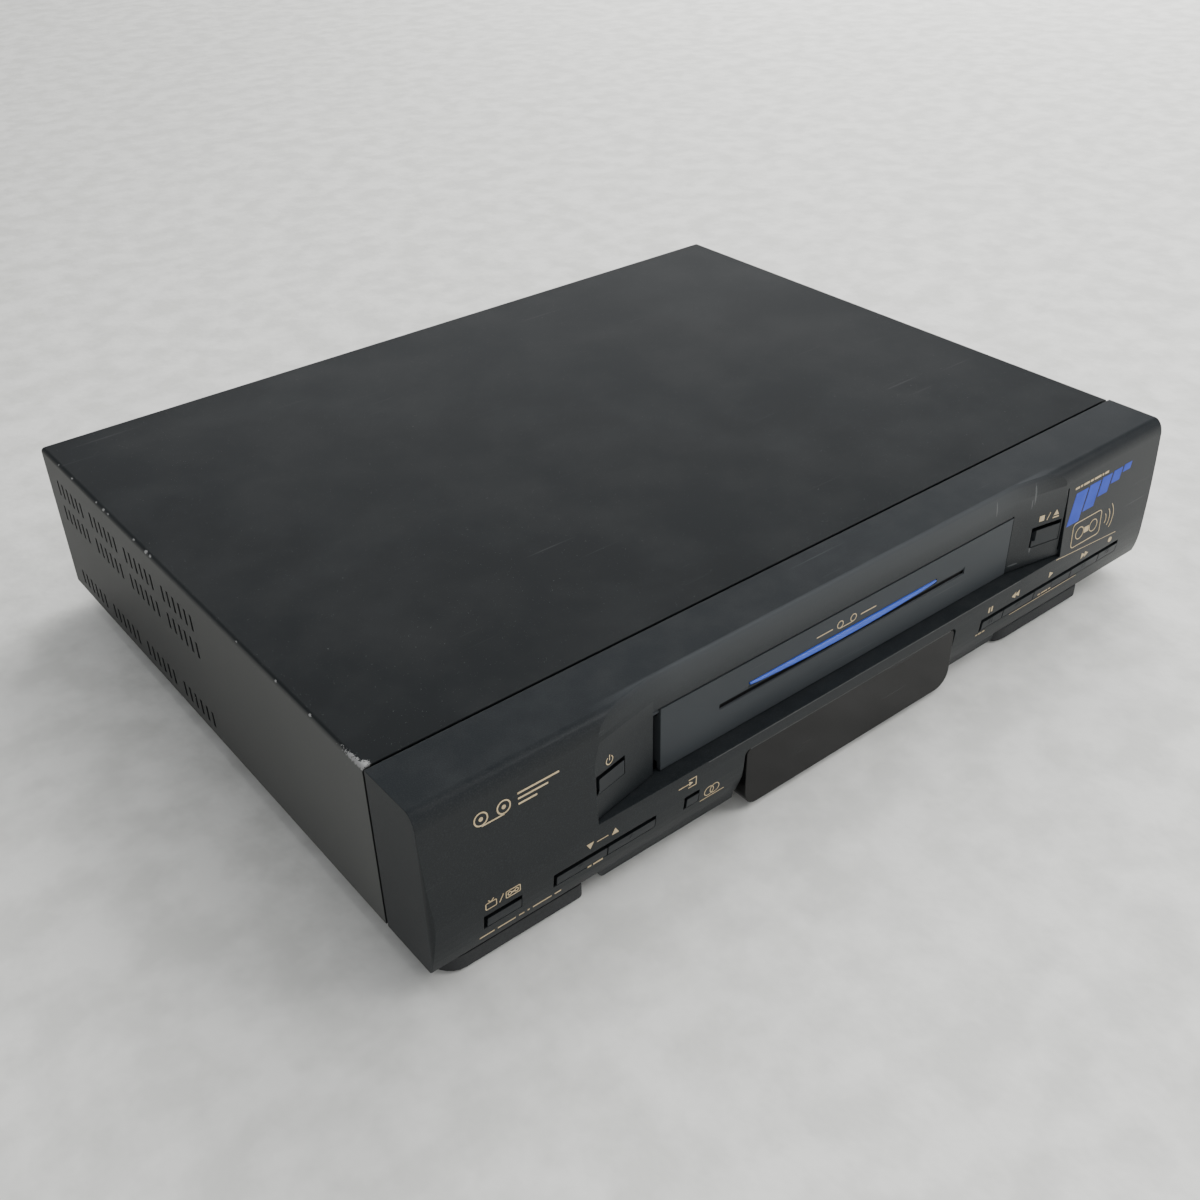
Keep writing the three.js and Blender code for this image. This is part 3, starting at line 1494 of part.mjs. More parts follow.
function addLoadingDrive() {
  const camTop = camLow + camHeight;
  const gear = prismGeometry(gearOutline(camRadius, camToothHeight, camTeeth), "z", camLow, camTop);
  gear.translate(camX, camY, 0);
  const hub = bar("z", camHubRadius, onDeck, camTop, camX, camY);
  add("cam_gear", join(solidOf(gear), hub), "white");

  const z = onDeck + motorRadius;
  const y = camY + camRadius + camToothHeight + wormGap + wormRadius;
  const can = bar("x", motorRadius, motorLeft, motorLeft + motorLength, y, z);
  const worm = bar("x", wormRadius, motorLeft - wormLength, motorLeft + restGap, y, z, coarseSides);
  add("loading_motor", join(can, worm), "steel");
}

const shaped = addFront();
addCover();
addKeys(shaped);
addDoor();
addWindow();
addFeet();
addChassis();
addRear();
addScrews();
addBoards();
addFrontBoard();
addRearConnectors();
addDeck();
addLoadingFrame();
addSlider();
addHolder();
addDrum();
addCapstan();
addDriveTrain();
addReels();
addPinch();
addGuides();
addTensionArm();
addHeads();
addLoadingDrive();

// The origin goes to the middle of the footprint, between the front's belt and the aerial sockets' tips.
const frontMost = -beltDepth;
const rearMost = rearFace + aerialLength;
recorder.position.set(0, -(frontMost + rearMost) / 2, footHeight);

const part = new THREE.Group();
part.add(recorder);

export default part;
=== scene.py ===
import json
import math

import bmesh
import bpy
import numpy as np
from mathutils import Matrix, Vector

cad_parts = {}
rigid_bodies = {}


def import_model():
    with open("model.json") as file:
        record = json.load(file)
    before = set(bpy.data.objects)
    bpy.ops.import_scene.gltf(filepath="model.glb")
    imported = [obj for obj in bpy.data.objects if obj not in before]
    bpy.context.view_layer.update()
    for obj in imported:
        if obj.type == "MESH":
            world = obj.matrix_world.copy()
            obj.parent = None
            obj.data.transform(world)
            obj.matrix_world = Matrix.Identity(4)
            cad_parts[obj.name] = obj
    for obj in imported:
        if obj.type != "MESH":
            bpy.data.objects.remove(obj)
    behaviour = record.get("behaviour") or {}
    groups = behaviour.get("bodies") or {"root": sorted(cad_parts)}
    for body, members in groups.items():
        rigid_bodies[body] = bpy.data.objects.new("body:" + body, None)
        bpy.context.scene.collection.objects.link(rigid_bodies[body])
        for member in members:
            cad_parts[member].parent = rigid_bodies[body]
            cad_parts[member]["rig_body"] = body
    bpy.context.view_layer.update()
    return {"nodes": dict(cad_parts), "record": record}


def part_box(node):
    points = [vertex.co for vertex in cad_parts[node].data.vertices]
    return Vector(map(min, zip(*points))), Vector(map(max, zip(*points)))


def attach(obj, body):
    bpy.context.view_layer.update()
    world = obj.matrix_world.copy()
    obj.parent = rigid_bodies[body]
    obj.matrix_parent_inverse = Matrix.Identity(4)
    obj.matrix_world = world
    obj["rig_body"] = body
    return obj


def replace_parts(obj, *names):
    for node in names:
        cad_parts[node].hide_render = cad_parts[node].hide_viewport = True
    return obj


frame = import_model()
nodes = frame["nodes"]
mm = 0.001
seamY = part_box("front_bezel")[0].y + 33.4 * mm  # y of the seam between front and cover
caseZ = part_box("top_cover")[0].z  # height of the case's lower edge
print("frame loaded,", len(nodes), "nodes")

# Camera, at the photograph's angle

camera = {
    "place": (-361.8, -317.4, 375.8),  # mm from the seam's middle at the case's lower edge
    "right": (0.777666, -0.628408, -0.018426),
    "down": (-0.366702, -0.429605, -0.825209),
    "forward": (0.510652, 0.648493, -0.564527),
    "lens": 40.11,
    "sensor": 36.0,
    "nearest": 0.01,
}


# Millimetres from the seam and the case's lower edge, as metres in the row frame
def toFrame(x, y, z):
    return np.stack(np.broadcast_arrays(x * mm, seamY + y * mm, caseZ + z * mm), axis=-1)


def placeOf(x, y, z):
    return tuple(float(v) for v in toFrame(x, y, z))


def newObject(name, data):
    made = bpy.data.objects.new(name, data)
    bpy.context.scene.collection.objects.link(made)
    return made


cameraData = bpy.data.cameras.new("photoCamera")
cameraData.lens = camera["lens"]
cameraData.sensor_width = camera["sensor"]
cameraData.clip_start = camera["nearest"]
cameraObject = newObject("photoCamera", cameraData)
axes = (camera["right"], [-v for v in camera["down"]], [-v for v in camera["forward"]])
turn = Matrix(axes).transposed().to_4x4()
cameraObject.matrix_world = Matrix.Translation(Vector(placeOf(*camera["place"]))) @ turn
bpy.context.scene.camera = cameraObject
print("camera placed")

# Node helpers


# Adds a node and returns one output; each input is a value or another node's output
def flow(tree, kind, inputs, output=0, **settings):
    made = tree.nodes.new("ShaderNode" + kind)
    for key, value in settings.items():
        setattr(made, key, value)
    for key, value in inputs.items():
        if isinstance(value, bpy.types.NodeSocket):
            tree.links.new(value, made.inputs[key])
        else:
            made.inputs[key].default_value = value
    return made.outputs[output]


def combine(tree, operation, *terms, kind="Math", output=0):
    return flow(tree, kind, dict(enumerate(terms)), output, operation=operation)


def spread(tree, source, low, high, fromLow=0.3, fromHigh=0.7):
    ends = {"From Min": fromLow, "From Max": fromHigh, "To Min": low, "To Max": high}
    return flow(tree, "MapRange", {"Value": source, **ends})


def objectPlace(tree):
    return flow(tree, "TexCoord", {}, "Object")


# The X, Y and Z outputs of a vector
def splitParts(tree, vector):
    return flow(tree, "SeparateXYZ", {"Vector": vector}).node.outputs


# A new group: its tree, the outputs of its start and the inputs of its end
def newGroup(name, inputs, *outputs):
    tree = bpy.data.node_groups.new(name, "ShaderNodeTree")
    for label, value in inputs.items():
        kind = "NodeSocketVector" if isinstance(value, tuple) else "NodeSocketFloat"
        tree.interface.new_socket(label, in_out="INPUT", socket_type=kind).default_value = value
    for label in outputs:
        tree.interface.new_socket(label, in_out="OUTPUT", socket_type="NodeSocketFloat")
    return tree, tree.nodes.new("NodeGroupInput").outputs, tree.nodes.new("NodeGroupOutput").inputs


# Uses a group with these values, and returns its outputs
def useGroup(tree, group, **values):
    made = tree.nodes.new("ShaderNodeGroup")
    made.node_tree = group
    for key, value in values.items():
        made.inputs[key].default_value = value
    return made.outputs


# Fine grain: a small bumpy height, and a broad soft tone that drifts over the surface
grainGroup, start, end = newGroup("fineGrain", {"Scale": 1200.0, "Drift": 14.0}, "Height", "Tone")
place = objectPlace(grainGroup)
for output, size, detail, rough in (("Height", "Scale", 2.0, 0.6), ("Tone", "Drift", 3.0, 0.55)):
    noise = {"Vector": place, "Scale": start[size], "Detail": detail, "Roughness": rough}
    grainGroup.links.new(flow(grainGroup, "TexNoise", noise), end[output])

# Scratches: noise stretched long and thin one way, cut to its peaks, and broken up by a broad noise
streakInputs = {"Turn": (0.0, 0.0, 0.4), "Density": 900.0, "Peak": 0.68}
tree, start, end = newGroup("fineScratches", streakInputs, "Mask")
scratchGroup = tree
place = objectPlace(tree)
turned = flow(tree, "Mapping", {"Vector": place, "Rotation": start["Turn"], "Scale": (0.02, 1.0, 1.0)})
streak = flow(tree, "TexNoise", {"Vector": turned, "Scale": start["Density"], "Detail": 1.0})
peaks = spread(tree, streak, 0.0, 1.0, start["Peak"], 0.78)
patches = flow(tree, "TexNoise", {"Vector": place, "Scale": 22.0, "Detail": 2.0})
tree.links.new(combine(tree, "MULTIPLY", peaks, spread(tree, patches, 0.0, 1.0, 0.5, 0.66)), end["Mask"])

# A worn spot: nearness to a centre, plus noise, cut to a hard edge
spotInputs = {
    "Centre": (0.0, 0.0, 0.0), "Stretch": (1.0, 1.0, 1.0), "Reach": 0.004, "Grain": 700.0, "Ragged": 0.6,
}
tree, start, end = newGroup("wornSpot", spotInputs, "Mask")
wearGroup = tree
place = objectPlace(tree)
away = combine(tree, "SUBTRACT", place, start["Centre"], kind="VectorMath")
scaled = combine(tree, "MULTIPLY", away, start["Stretch"], kind="VectorMath")
length = combine(tree, "LENGTH", scaled, kind="VectorMath", output="Value")
near = spread(tree, length, 1.0, 0.0, 0.0, start["Reach"])
noise = flow(tree, "TexNoise", {"Vector": place, "Scale": start["Grain"], "Detail": 4.0, "Roughness": 0.7})
ragged = combine(tree, "MULTIPLY", combine(tree, "SUBTRACT", noise, 0.5), start["Ragged"])
tree.links.new(spread(tree, combine(tree, "ADD", near, ragged), 0.0, 1.0, 0.46, 0.52), end["Mask"])

# A box in object space, as a mask that is one inside it
tree, start, end = newGroup("boxMask", {"Centre": (0.0, 0.0, 0.0), "Half": (1.0, 1.0, 1.0)}, "Mask")
boxGroup = tree
away = combine(tree, "SUBTRACT", objectPlace(tree), start["Centre"], kind="VectorMath")
size = combine(tree, "ABSOLUTE", away, kind="VectorMath")
share = splitParts(tree, combine(tree, "DIVIDE", size, start["Half"], kind="VectorMath"))
widest = combine(tree, "MAXIMUM", combine(tree, "MAXIMUM", share["X"], share["Y"]), share["Z"])
tree.links.new(combine(tree, "LESS_THAN", widest, 1.0), end["Mask"])

# Dust: lies on faces that look up, in soft patches
tree, start, end = newGroup("dustFilm", {"Scale": 60.0}, "Mask")
dustGroup = tree
facing = splitParts(tree, flow(tree, "NewGeometry", {}, "Normal"))
cloud = {"Vector": objectPlace(tree), "Scale": start["Scale"], "Detail": 6.0, "Roughness": 0.65}
cloudy = spread(tree, flow(tree, "TexNoise", cloud), 0.0, 1.0, 0.42, 0.75)
upward = spread(tree, facing["Z"], 0.0, 1.0, 0.3, 1.0)
tree.links.new(combine(tree, "MULTIPLY", upward, cloudy), end["Mask"])

print("shader groups built")

# Materials


# A material with one Principled shader; sockets holds the values that are the same all over
def newMaterial(name, sockets):
    material = bpy.data.materials.new(name)
    material.use_nodes = True
    tree = material.node_tree
    shader = tree.nodes["Principled BSDF"]
    for key, value in sockets.items():
        shader.inputs[key].default_value = value
    return material, tree, shader.inputs


# Mixes two colours by a mask; each colour is a value or another node's output
def mixColour(tree, mask, first, second):
    colours = [(*colour, 1.0) if isinstance(colour, tuple) else colour for colour in (first, second)]
    return flow(tree, "Mix", {"Factor": mask, 6: colours[0], 7: colours[1]}, 2, data_type="RGBA")


# A mask laid over a colour, as strongly as its share
def overlay(tree, mask, share, under, over):
    return mixColour(tree, spread(tree, mask, 0.0, share, 0.0, 1.0), under, over)


# A bump on the shader's normal, over edges that look a little rounded where a radius is given
def addBump(tree, shader, height, strength, distance, radius=None):
    bump = {"Strength": strength, "Distance": distance, "Height": height}
    if radius is not None:
        bump["Normal"] = flow(tree, "Bevel", {"Radius": radius}, samples=4)
    tree.links.new(flow(tree, "Bump", bump), shader["Normal"])


# A material's start: fine grain, a tone that drifts from dark to light, and a roughness that follows it
def startMaterial(name, look, drift, follows="Tone", sockets=None):
    material, tree, shader = newMaterial(name, sockets or {"Specular IOR Level": look.get("gloss", 0.5)})
    grain = useGroup(tree, grainGroup, Scale=look["grain"], Drift=look.get("drift", drift))
    tone = mixColour(tree, spread(tree, grain["Tone"], 0.0, 1.0), look["dark"], look["light"])
    tree.links.new(spread(tree, grain[follows], *look["roughness"]), shader["Roughness"])
    return material, tree, shader, grain["Height"], tone


# Worn spots as one mask: each spot is (centre, stretch, reach, grain, raggedness)
def wornSpots(tree, spots):
    worn = None
    for centre, stretch, reach, grain, ragged in spots:
        values = {"Centre": placeOf(*centre), "Stretch": stretch, "Reach": reach * mm}
        mask = useGroup(tree, wearGroup, **values, Grain=grain, Ragged=ragged)["Mask"]
        worn = mask if worn is None else combine(tree, "MAXIMUM", worn, mask)
    return worn


# A painted highlight on the front's upper band, where its curve catches the light: it lies at the middle
# and fades to both ends, downward and where the face lies back
def bandHighlightMask(tree, film):
    place = splitParts(tree, objectPlace(tree))
    aside = combine(tree, "ABSOLUTE", place["X"])
    inward = spread(tree, aside, 1.0, 0.0, *[v * mm for v in film["ends"]])
    forward = spread(tree, place["Y"], 1.0, 0.0, *[seamY + v * mm for v in film["depths"]])
    upward = spread(tree, place["Z"], 0.0, 1.0, *[caseZ + v * mm for v in film["heights"]])
    return combine(tree, "MULTIPLY", combine(tree, "MULTIPLY", inward, forward), upward)


# Painted shade: a darker colour inside a box, where a groove or seam falls into shade
def paintedBoxShade(tree, box, tone):
    half = tuple(v * mm for v in box["half"])
    inside = useGroup(tree, boxGroup, Centre=placeOf(*box["centre"]), Half=half)
    return mixColour(tree, inside["Mask"], tone, box["colour"])


# Scratches and then dust over a tone
def wornTone(tree, look, tone, wear):
    scratches = useGroup(tree, scratchGroup, Turn=look["turn"], Density=look["density"], Peak=look["peak"])
    tone = overlay(tree, scratches["Mask"], look["marks"], tone, wear["scratch"])
    dust = useGroup(tree, dustGroup, Scale=wear["dustScale"])
    return overlay(tree, dust["Mask"], look["dust"], tone, wear["dust"])


bumpDepth = {"grain": 0.0001, "line": 0.00005}  # metres
plasticWear = {
    "scratch": (0.24, 0.25, 0.26), "dust": (0.20, 0.20, 0.19), "dustScale": 70.0,
    "scuff": (0.22, 0.23, 0.23), "scuffShare": 0.28, "scuffRough": (2400.0, 0.9),
    "fleckShare": 0.8, "flecks": (0.48, 0.72),
}


# Black moulded plastic: textured or smooth, with a drifting tone, faint scratches and dust, and where a
# look asks, a painted highlight band and painted shade in a box
def mouldedPlastic(name, look):
    wear = plasticWear
    material, tree, shader, height, tone = startMaterial(name, look, 14.0)
    if "fleck" in look:
        flecks = spread(tree, height, 0.0, wear["fleckShare"], *wear["flecks"])
        tone = mixColour(tree, flecks, tone, look["fleck"])
    tone = wornTone(tree, look, tone, wear)
    # painted highlight over the curved band above the door
    if "film" in look:
        tone = mixColour(tree, bandHighlightMask(tree, look["film"]), tone, look["film"]["colour"])
    # painted shade inside a box
    if "crevice" in look:
        tone = paintedBoxShade(tree, look["crevice"], tone)
    if "scuffs" in look:
        spots = [(*scuff, *wear["scuffRough"]) for scuff in look["scuffs"]]
        tone = overlay(tree, wornSpots(tree, spots), wear["scuffShare"], tone, wear["scuff"])
    tree.links.new(tone, shader["Base Color"])
    addBump(tree, shader, height, look["bump"], bumpDepth["grain"], look.get("edge", 0.0004))
    return material


coverLook = {
    "dark": (0.0036, 0.0048, 0.0052), "light": (0.0052, 0.0066, 0.0072), "gloss": 0.34, "grain": 1500.0,
    "drift": 9.0, "turn": (0.3, 0.2, 0.9), "density": 500.0, "peak": 0.70, "marks": 0.12, "dust": 0.035,
    "roughness": (0.52, 0.56), "bump": 0.22, "edge": 0.0005,
    "wear": {"scratch": (0.2, 0.2, 0.2), "dust": (0.22, 0.22, 0.21), "dustScale": 26.0},
    # painted reflection: the sides are lighter towards the front, as the bright floor shows in them
    "sideFront": (0.070, 0.072, 0.068), "sideBack": (0.017, 0.018, 0.017), "sideDepth": 270.0,
    "bare": (0.34, 0.34, 0.33), "bareMetal": 0.35,
    "corner": (
        ((-214.6, 6.0, 75.8), (1.2, 0.18, 1.3), 2.5, 1300.0, 2.3),
        ((-213.4, 2.4, 76.0), (0.8, 0.75, 1.2), 2.7, 1700.0, 2.3),
    ),
    "chipShape": {"x": -214.6, "z": 75.9, "stretch": (1.0, 0.6, 1.0), "grow": 1.25, "rough": (1900.0, 1.2)},
    "chips": (  # depth along the edge, and size
        (282.2, 0.9), (265.2, 1.0), (236.0, 0.9), (227.4, 1.2), (222.3, 0.9), (193.7, 1.0), (181.0, 1.4),
        (176.6, 1.1), (96.0, 0.8), (64.0, 0.9), (38.0, 1.0),
    ),
}


# Satin black paint on folded sheet: fine orange peel, drifting gloss, a painted reflection that lightens
# the sides towards the front, and worn bare metal
def coverPaint():
    look, chip = coverLook, coverLook["chipShape"]
    material, tree, shader, height, tone = startMaterial("coverPaint", look, look["drift"])
    tone = wornTone(tree, look, tone, look["wear"])
    # painted reflection on the faces that look sideways, fading towards the back
    facing = splitParts(tree, flow(tree, "NewGeometry", {}, "Normal"))
    sideSheenMask = spread(tree, combine(tree, "ABSOLUTE", facing["X"]), 0.0, 1.0, 0.5, 0.9)
    depth = splitParts(tree, objectPlace(tree))["Y"]
    farther = spread(tree, depth, 0.0, 1.0, seamY, seamY + look["sideDepth"] * mm)
    tone = mixColour(tree, sideSheenMask, tone, mixColour(tree, farther, look["sideFront"], look["sideBack"]))
    spots = list(look["corner"])
    for y, size in look["chips"]:
        spots.append(((chip["x"], y, chip["z"]), chip["stretch"], chip["grow"] * size, *chip["rough"]))
    worn = wornSpots(tree, spots)
    tree.links.new(mixColour(tree, worn, tone, look["bare"]), shader["Base Color"])
    tree.links.new(spread(tree, worn, 0.0, look["bareMetal"], 0.0, 1.0), shader["Metallic"])
    addBump(tree, shader, height, look["bump"], bumpDepth["grain"], look["edge"])
    return material


# Bright metal: drawn or ground lines along one axis, and a little uneven tarnish
def plainMetal(name, look):
    material, tree, shader, height, tone = startMaterial(name, look, 30.0, sockets={"Metallic": 0.95})
    lines = useGroup(tree, scratchGroup, Turn=look["turn"], Density=look["density"], Peak=0.5)["Mask"]
    tree.links.new(overlay(tree, lines, 0.35, tone, look["line"]), shader["Base Color"])
    addBump(tree, shader, lines, look["bump"], bumpDepth["line"], 0.0002)
    return material


# A non-metal with a drifting tone and a fine surface, for rubber, acetal, laminate and prints
def plainTone(name, look):
    material, tree, shader, height, tone = startMaterial(name, look, 40.0, "Height")
    if "blacking" in look:  # painted shade: the board is dark where it shows through the doorway, as the shade inside the bay
        tone = paintedBoxShade(tree, look["blacking"], tone)
    tree.links.new(tone, shader["Base Color"])
    addBump(tree, shader, height, look["bump"], bumpDepth["grain"], look.get("edge", 0.0002))
    return material


plasticLooks = {
    "front_plastic": {
        "dark": (0.009, 0.011, 0.0124), "light": (0.0114, 0.0135, 0.015), "gloss": 0.21, "grain": 2100.0,
        "turn": (0.0, 0.5, 0.1), "density": 600.0, "peak": 0.74, "marks": 0.12, "dust": 0.04,
        "roughness": (0.385, 0.42), "bump": 0.42, "fleck": (0.0225, 0.026, 0.0285),
        # painted shade: the part of the front behind the seam, inside the cover, is near black
        "crevice": {
            "centre": (0.0, 6.0, 37.0), "half": (220.0, 6.4, 60.0), "colour": (0.001, 0.001, 0.0011),
        },
        # painted highlight: a lighter colour over the curved band above the door
        "film": {
            "ends": (96.0, 138.0), "heights": (58.0, 76.0), "depths": (-23.5, -22.4),
            "colour": (0.046, 0.05, 0.053),
        },
        "scuffs": (
            ((119.6, -28.0, 69.0), (3.2, 0.1, 0.3), 3.0), ((118.2, -28.0, 64.5), (4.0, 0.1, 0.5), 2.4),
            ((94.0, -25.8, 70.0), (3.6, 0.1, 0.4), 2.6), ((121.8, -28.2, 41.0), (2.6, 0.1, 0.4), 3.0),
            ((112.5, -26.6, 33.5), (0.5, 0.1, 3.0), 2.8),
        ),
    },
    "door_plastic": {
        "dark": (0.04, 0.0445, 0.0485), "light": (0.048, 0.053, 0.057), "gloss": 0.1, "grain": 900.0,
        "turn": (0.0, 0.35, 0.05), "density": 750.0, "peak": 0.64, "marks": 0.3, "dust": 0.1,
        "roughness": (0.34, 0.44), "bump": 0.08,
        # painted shade: the groove under the blue strip is darkened
        "crevice": {
            "centre": (1.0, -24.0, 44.6), "half": (75.2, 1.0, 1.6), "colour": (0.0022, 0.0023, 0.0026),
        },
    },
    "key_plastic": {
        "dark": (0.015, 0.0176, 0.0196), "light": (0.0182, 0.021, 0.0232), "gloss": 0.22, "grain": 1500.0,
        "turn": (0.0, 0.2, 0.0), "density": 900.0, "peak": 0.7, "marks": 0.18, "dust": 0.05,
        "roughness": (0.38, 0.46), "bump": 0.2, "edge": 0.0003,
    },
    "smoked_plastic": {
        "dark": (0.008, 0.0077, 0.0077), "light": (0.0118, 0.0113, 0.0112), "gloss": 0.17, "grain": 700.0,
        "turn": (0.0, 0.5, 0.2), "density": 800.0, "peak": 0.66, "marks": 0.16, "dust": 0.06,
        "roughness": (0.13, 0.2), "bump": 0.02, "edge": 0.0006,
    },
    "black_plastic": {
        "dark": (0.016, 0.0165, 0.017), "light": (0.023, 0.0235, 0.024), "gloss": 0.5, "grain": 1100.0,
        "turn": (0.3, 0.2, 0.0), "density": 500.0, "peak": 0.72, "marks": 0.1, "dust": 0.06,
        "roughness": (0.45, 0.55), "bump": 0.25,
    },
    "socket_plastic": {
        "dark": (0.02, 0.02, 0.0205), "light": (0.028, 0.028, 0.0285), "gloss": 0.5, "grain": 1000.0,
        "turn": (0.3, 0.2, 0.0), "density": 500.0, "peak": 0.72, "marks": 0.08, "dust": 0.04,
        "roughness": (0.3, 0.4), "bump": 0.1,
    },
}
toneLooks = {
    "blue_plastic": {
        "dark": (0.034, 0.085, 0.47), "light": (0.046, 0.11, 0.56), "gloss": 0.35, "grain": 800.0,
        "roughness": (0.25, 0.27), "bump": 0.0,
    },
    "foot_rubber": {
        "dark": (0.026, 0.0272, 0.0285), "light": (0.034, 0.035, 0.036), "gloss": 0.35, "grain": 1300.0,
        "roughness": (0.62, 0.78), "bump": 0.5, "edge": 0.0005,
    },
    "belt_rubber": {
        "dark": (0.011, 0.011, 0.0115), "light": (0.018, 0.018, 0.018), "gloss": 0.3, "grain": 1600.0,
        "roughness": (0.55, 0.72), "bump": 0.4,
    },
    "white_plastic": {
        "dark": (0.62, 0.6, 0.54), "light": (0.72, 0.7, 0.64), "grain": 900.0,
        "roughness": (0.35, 0.48), "bump": 0.08,
    },
    "board_laminate": {
        "dark": (0.2, 0.115, 0.045), "light": (0.29, 0.175, 0.075), "grain": 500.0, "drift": 120.0,
        "roughness": (0.45, 0.6), "bump": 0.15,
        # painted shade inside the bay, behind the doorway
        "blacking": {
            "centre": (0.0, -13.0, 36.0), "half": (126.0, 6.0, 20.0), "colour": (0.014, 0.015, 0.016),
        },
    },
    "tube_glass": {
        "dark": (0.035, 0.05, 0.05), "light": (0.05, 0.068, 0.068), "gloss": 0.7, "grain": 300.0,
        "roughness": (0.06, 0.12), "bump": 0.02,
    },
}
metalLooks = {
    "plated_steel": {
        "dark": (0.36, 0.37, 0.38), "light": (0.52, 0.53, 0.55), "line": (0.62, 0.62, 0.62), "grain": 600.0,
        "turn": (0.0, 0.0, 0.0), "density": 1400.0, "roughness": (0.34, 0.5), "bump": 0.1,
    },
    "shaft_steel": {
        "dark": (0.5, 0.51, 0.53), "light": (0.62, 0.63, 0.65), "line": (0.75, 0.75, 0.76), "grain": 900.0,
        "turn": (0.0, 1.2, 0.4), "density": 2500.0, "roughness": (0.2, 0.32), "bump": 0.06,
    },
    "drum_aluminium": {
        "dark": (0.66, 0.67, 0.69), "light": (0.78, 0.79, 0.81), "line": (0.86, 0.86, 0.87), "grain": 700.0,
        "turn": (0.0, 0.0, 0.0), "density": 4200.0, "roughness": (0.14, 0.24), "bump": 0.1,
    },
}

materials = {"cover_paint": coverPaint()}
for make, looks in ((mouldedPlastic, plasticLooks), (plainTone, toneLooks), (plainMetal, metalLooks)):
    for slotName, look in looks.items():
        materials[slotName] = make(slotName, look)

windingLook = {
    "core": (0.12, 0.10, 0.085), "sheet": (0.30, 0.27, 0.24), "tape": (0.50, 0.34, 0.05), "sheets": 320.0,
    "middle": 110.0, "halfWidth": 15.2, "seam": 0.2, "grain": 700.0, "drift": 60.0,
    "roughness": (0.35, 0.5), "bump": 0.3, "edge": 0.0003,
}


# A varnished stack of thin iron sheets, with yellow tape on the winding that stands out of it
def transformerFinish():
    look = windingLook
    material, tree, shader = newMaterial("transformerFinish", {"Specular IOR Level": 0.5})
    place = objectPlace(tree)
    away = combine(tree, "SUBTRACT", splitParts(tree, place)["Y"], seamY + look["middle"] * mm)
    half = look["halfWidth"] * mm
    winding = spread(tree, combine(tree, "ABSOLUTE", away), 0.0, 1.0, half, half + look["seam"] * mm)
    waves = {"Vector": place, "Scale": look["sheets"], "Distortion": 0.4, "Detail": 1.0}
    sheets = flow(tree, "TexWave", waves, "Fac", bands_direction="Y")
    iron = overlay(tree, sheets, 0.5, look["core"], look["sheet"])
    tree.links.new(mixColour(tree, winding, iron, look["tape"]), shader["Base Color"])
    grain = useGroup(tree, grainGroup, Scale=look["grain"], Drift=look["drift"])
    tree.links.new(spread(tree, grain["Tone"], *look["roughness"]), shader["Roughness"])
    addBump(tree, shader, sheets, look["bump"], bumpDepth["grain"], look["edge"])
    return material


materials["transformer_iron"] = transformerFinish()
creamPrint = plainTone("creamPrint", {
    "dark": (0.50, 0.385, 0.215), "light": (0.60, 0.475, 0.28), "grain": 2500.0, "drift": 300.0,
    "roughness": (0.45, 0.60), "bump": 0.2,
})
bluePrint = plainTone("bluePrint", {
    "dark": (0.030, 0.062, 0.42), "light": (0.042, 0.082, 0.52), "gloss": 0.15, "grain": 2500.0,
    "drift": 90.0, "roughness": (0.45, 0.55), "bump": 0.1,
})
ringColours = {"yellow": (0.62, 0.42, 0.02), "white": (0.72, 0.70, 0.66), "red": (0.42, 0.02, 0.02)}
ringFinish = {
    name: plainTone(name + "Ring", {
        "dark": tuple(0.85 * v for v in colour), "light": colour, "grain": 900.0, "roughness": (0.25, 0.35),
        "bump": 0.05,
    })
    for name, colour in ringColours.items()
}

slotOf = {part["node"]: part["material_slot"] for part in frame["record"]["subparts"]}
for name, node in nodes.items():
    node.data.materials.clear()
    node.data.materials.append(materials[slotOf[name]])
print("materials made,", len(bpy.data.materials))

# Smooth copies of the visible CAD nodes, so that their curves shade as curves


def finishPiece(piece, body, slotName, material=None):
    piece.data.materials.clear()
    piece.data.materials.append(material or materials[slotName])
    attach(piece, body)
    return piece


# Large flat faces keep their own normal, so that only the curves beside them shade as curves
def evenShading(piece):
    weighted = piece.modifiers.new("evenShading", "WEIGHTED_NORMAL")
    weighted.mode = "FACE_AREA"
    weighted.weight = 100
    weighted.keep_sharp = True


def smoothTo(mesh, degrees):
    mesh.polygons.foreach_set("use_smooth", np.ones(len(mesh.polygons), dtype=bool))
    mesh.set_sharp_from_angle(angle=math.radians(degrees))


def readPoints(mesh):
    points = np.empty(len(mesh.vertices) * 3)
    mesh.vertices.foreach_get("co", points)
    return points.reshape(-1, 3)


def writePoints(mesh, points):
    mesh.vertices.foreach_set("co", points.ravel())
    mesh.update()


def smoothCopy(node, angle=32.0):
    mesh = nodes[node].data.copy()
    mesh.name = node + "Shell"
    work = bmesh.new()
    work.from_mesh(mesh)
    bmesh.ops.remove_doubles(work, verts=work.verts, dist=2e-6)
    flat = math.radians(0.1)
    bmesh.ops.dissolve_limit(work, angle_limit=flat, verts=work.verts, edges=work.edges, delimit=set())
    work.to_mesh(mesh)
    work.free()
    smoothTo(mesh, angle)
    piece = finishPiece(newObject(node + "Shell", mesh), nodes[node]["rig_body"], slotOf[node])
    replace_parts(piece, node)
    evenShading(piece)
    return piece


